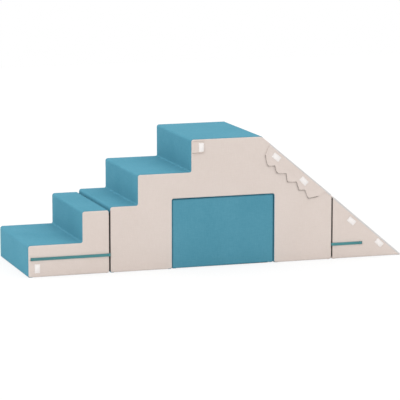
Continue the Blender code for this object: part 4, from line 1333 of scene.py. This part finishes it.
def model_patch():
    """One patch in the XZ plane, its back at y = 0 and its front towards -Y."""
    flat_size, upright = (PATCH_LENGTH, PATCH_WIDTH, 1), (math.pi / 2, 0, 0)
    patch = primitive(bpy.ops.mesh.primitive_plane_add, "patch", flat_size, size=1, rotation=upright)
    start_edit(patch)
    bpy.ops.mesh.select_all(action="SELECT")
    bpy.ops.mesh.bevel(offset=PATCH_CORNER, segments=4, affect="VERTICES")
    bpy.ops.mesh.select_all(action="SELECT")
    bpy.ops.mesh.extrude_region_move(TRANSFORM_OT_translate={"value": (0, -PATCH_THICKNESS * 0.6, 0)})
    bpy.ops.mesh.select_all(action="SELECT")
    bpy.ops.mesh.normals_make_consistent(inside=False)
    select_faces(patch, lambda face: face.normal.y < -FACING)
    for thickness, depth in PATCH_INSETS:
        bpy.ops.mesh.inset(thickness=thickness * MM, depth=depth * MM)
    bpy.ops.object.mode_set(mode="OBJECT")
    bpy.ops.object.shade_smooth_by_angle(angle=CLOTH_BEND)
    return patch


def patch_outline():
    """The line of a patch's stitches, around it."""
    half_x, half_z = PATCH_LENGTH / 2 - PATCH_STITCH_INSET, PATCH_WIDTH / 2 - PATCH_STITCH_INSET
    corners = ((-1, -1), (1, -1), (1, 1), (-1, 1), (-1, -1))
    return [Vector((half_x * right, -PATCH_THICKNESS, half_z * up)) for right, up in corners]


first_patch = model_patch()
first_patch.data.materials.append(HOOK_TAPE)
for body, name, turn, move_x, move_z in (
    ("stair", "stair_patch", 90, 0, 2),
    ("corner_tab", "corner_tab_patch", 90, 1.2, 1.5),
    ("ridge_flap", "ridge_flap_upper_patch", 39, 0, 1.5),
    ("ridge_flap", "ridge_flap_lower_patch", 46, -2, -2.5),
    ("wedge", "wedge_upper_patch", 41, -4.5, 0),
    ("wedge", "wedge_lower_patch", 43, 0, 4),
):
    low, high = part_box(name)
    centre = (low + high) / 2
    back = high.y - (tab_lift(centre.x - TAB_LOW.x, TAB_PATCH_DEPTH) if body == "corner_tab" else 0)
    place = Matrix.Translation((centre.x + move_x * MM, back, centre.z + move_z * MM))
    place @= Matrix.Rotation(math.radians(turn), 4, "Y")
    patch = link_piece(name + "_tape", first_patch.data.copy())
    patch.data.transform(place)
    finish_piece(patch, body, "white_tape", name)
    line = [(place @ point, Vector((0, -1, 0))) for point in patch_outline()]
    stitches(name + "_stitches", body, [line], BEIGE_THREAD, "white_tape")
bpy.data.objects.remove(first_patch)

# %% [markdown]
# ## Zips
# Each cover closes with a zip, low on the far side. A zip is a woven tape behind the slot, a chain of
# teeth and two end stops. One tooth is modelled and an Array modifier runs it along the chain, half a
# pitch apart in the two rows. Real teeth are 1.5 mm apart. They are drawn 3 mm apart, which keeps them
# countable.

# %% Zip tape and teeth
TAPE_BACK, TAPE_FACE, TOOTH_TOP = FAR - 3 * MM, FAR - 2.2 * MM, FAR - 0.6 * MM
TAPE_MARGIN, TAPE_EDGE = 3 * MM, 0.25 * MM
TOOTH_PITCH, TOOTH_WIDTH, TOOTH_EDGE = 3 * MM, 1.9 * MM, 0.3 * MM
TOOTH_INNER, TOOTH_OUTER, CHAIN_MARGIN = 0.2 * MM, 2.4 * MM, 6 * MM
STOP_MARGIN, STOP_LENGTH, STOP_HALF, STOP_EDGE = 1.5 * MM, 4 * MM, 3.4 * MM, 0.4 * MM
MARK = 4 * MM

ZIP_TAPE = flat_material("woven_zip_tape", "B9ADA3", "CFC4BB", 2 * MM, 0.85, 0.2 * MM)
TOOTH_PLASTIC = flat_material("moulded_zip_teeth", "B3A79D", "C3B8AE", 4 * MM, 0.4, 0.05 * MM)


def plated_metal():
    """Nickel-plated zinc casting: warm grey, satin, with faint handling marks a few millimetres across."""
    material, tree, shader = new_material("nickel_plated_zinc", metallic=1.0, base_color=linear("B9B6AF"))
    values = {"Vector": object_place(tree), "Scale": 1 / MARK, "Detail": 4.0}
    marks = add(tree, "ShaderNodeTexNoise", values).outputs["Fac"]
    rough = add(tree, "ShaderNodeMapRange", {"Value": marks, "To Min": 0.24, "To Max": 0.42})
    tree.links.new(rough.outputs[0], shader.inputs["Roughness"])
    bump(tree, shader, marks, 0.3, 0.05 * MM)
    return material


METAL = plated_metal()


def zip_teeth(name, start, end, height):
    """Two rows of teeth that meet in the middle of the chain."""
    rows = []
    for row, shift in ((-1, 0.0), (1, TOOTH_PITCH / 2)):
        foot, top = sorted((height + TOOTH_INNER * row, height + TOOTH_OUTER * row))
        low = (start + shift, TAPE_FACE, foot)
        high = (start + shift + TOOTH_WIDTH, TOOTH_TOP, top)
        tooth = slab(name, low, high, TOOTH_EDGE, TOOTH_PLASTIC, segments=1)
        repeat(tooth, (TOOTH_PITCH, 0, 0), int((end - start - TOOTH_PITCH) / TOOTH_PITCH))
        apply_modifiers(tooth)
        rows.append(tooth)
    click(rows[0])
    rows[1].select_set(True)
    bpy.ops.object.join()
    return rows[0]


for node in zips:
    body = nodes[node]["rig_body"]
    low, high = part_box(node)
    height = (low.z + high.z) / 2
    tape_low = (low.x - TAPE_MARGIN, TAPE_BACK, low.z - TAPE_MARGIN)
    tape_high = (high.x + TAPE_MARGIN, TAPE_FACE, high.z + TAPE_MARGIN)
    finish_piece(slab(node + "_tape", tape_low, tape_high, TAPE_EDGE, ZIP_TAPE), body, "zip_tape", node)
    teeth = zip_teeth(node + "_teeth", low.x + CHAIN_MARGIN, high.x - CHAIN_MARGIN, height)
    finish_piece(teeth, body, "zip_tape")
    for end, place in (("start", low.x + STOP_MARGIN), ("end", high.x - STOP_MARGIN - STOP_LENGTH)):
        stop_low = (place, TAPE_FACE, height - STOP_HALF)
        stop_high = (place + STOP_LENGTH, TOOTH_TOP, height + STOP_HALF)
        finish_piece(slab(f"{node}_{end}_stop", stop_low, stop_high, STOP_EDGE, METAL), body, "zip_metal")

# %% [markdown]
# ## Sliders
# The sliders are small zinc castings, plated and tumbled. The frame has their shape, so they stay, with
# their loose triangles welded, their edges softened by a Bevel modifier and a satin metal on them.

# %% Plate the sliders
SLIDER_EDGE = 0.25 * MM

for node in sorted(nodes):
    if node.endswith("_slider"):
        slider = nodes[node]
        for material_slot in slider.material_slots:
            material_slot.material = METAL
        weld = slider.modifiers.new("weld", "WELD")
        weld.merge_threshold = EXACT
        soften = slider.modifiers.new("soft edges", "BEVEL")
        soften.width = SLIDER_EDGE
        soften.segments = 2
        print("plated:", node)

# %% [markdown]
# ## Floor, light and camera
# The object stands on a white floor in even studio light: white surroundings, a very broad softbox
# overhead that brightens the treads, and a weaker one at the left for the risers. The photograph was
# taken from far away with a long lens, so the camera stands more than eleven metres off. For the camera
# and for reflections the floor is nearly pure white, and it still takes the object's shadow.

# %% Floor and light
FLOOR_SIZE = 16.0
FLOOR_GLOW = 0.8
SKY_LIGHT = 0.67
# Each lamp has the direction that its light comes from, its spread in degrees and its strength.
LAMPS = {
    "overhead_softbox": (Vector((0, 0, 1)), 120, 1.79),
    "side_softbox": (Vector((-1, 0, 0.5)), 60, 0.60),
}

floor = primitive(bpy.ops.mesh.primitive_plane_add, "studio_floor", size=FLOOR_SIZE)
floor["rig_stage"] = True

floor_paint, tree, shader = new_material("pale_studio_floor", roughness=0.9, base_color=linear("F3F3F3"))
rays = add(tree, "ShaderNodeLightPath")
seen = rays.outputs["Is Camera Ray"]
for kind in ("Is Glossy Ray", "Is Transmission Ray"):
    seen = add(tree, "ShaderNodeMath", {0: seen, 1: rays.outputs[kind]}, operation="MAXIMUM").outputs[0]
share = add(tree, "ShaderNodeMath", {0: seen, 1: FLOOR_GLOW}, operation="MULTIPLY")
glow = add(tree, "ShaderNodeEmission", {"Color": (1, 1, 1, 1), "Strength": 1.0})
mixed = add(tree, "ShaderNodeMixShader", {0: share.outputs[0], 1: shader.outputs[0], 2: glow.outputs[0]})
tree.links.new(mixed.outputs[0], tree.nodes["Material Output"].inputs["Surface"])
floor.data.materials.append(floor_paint)

world = bpy.data.worlds.new("white_studio")
bpy.context.scene.world = world
world.use_nodes = True
sky = world.node_tree
background = sky.nodes["Background"]
background.inputs["Color"].default_value = (1, 1, 1, 1)
background.inputs["Strength"].default_value = SKY_LIGHT
rays = add(sky, "ShaderNodeLightPath")
white = add(sky, "ShaderNodeBackground", {"Color": (1, 1, 1, 1), "Strength": 1.0})
choice = {0: rays.outputs["Is Camera Ray"], 1: background.outputs[0], 2: white.outputs[0]}
mixed = add(sky, "ShaderNodeMixShader", choice)
sky.links.new(mixed.outputs[0], sky.nodes["World Output"].inputs["Surface"])

for name, (comes_from, spread, strength) in LAMPS.items():
    lamp = bpy.data.objects.new(name, bpy.data.lights.new(name, "SUN"))
    lamp.data.energy = strength
    lamp.data.angle = math.radians(spread)
    lamp.rotation_euler = comes_from.to_track_quat("Z", "Y").to_euler()
    bpy.context.scene.collection.objects.link(lamp)
print("lamps:", ", ".join(LAMPS))

# %% Camera
AZIMUTH, ELEVATION = math.radians(18.07), math.radians(9.53)
DISTANCE = 11.513
TARGET = Vector((0.0040, 0.0275, 0.2635))

forward = Vector(
    (
        math.sin(AZIMUTH) * math.cos(ELEVATION),
        math.cos(AZIMUTH) * math.cos(ELEVATION),
        -math.sin(ELEVATION),
    )
)
camera_data = bpy.data.cameras.new("long_lens")
camera_data.lens = 218.61
camera_data.sensor_width = 36.0
camera = bpy.data.objects.new("camera", camera_data)
camera.location = TARGET - forward * DISTANCE
camera.rotation_euler = forward.to_track_quat("-Z", "Y").to_euler()
bpy.context.scene.collection.objects.link(camera)
bpy.context.scene.camera = camera
bpy.context.scene.view_settings.view_transform = "Standard"
print("camera at", [round(value, 3) for value in camera.location])

# %% [markdown]
# The sewn pieces may stand a few millimetres proud of the solids, but no more. The difference between
# the two boxes is printed.

# %% Print how much the two boxes differ
dressed_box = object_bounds()
solid_size, dressed_size = solid_box[1] - solid_box[0], dressed_box[1] - dressed_box[0]
print("dressed minus solid size in mm:", [round(value / MM, 2) for value in dressed_size - solid_size])
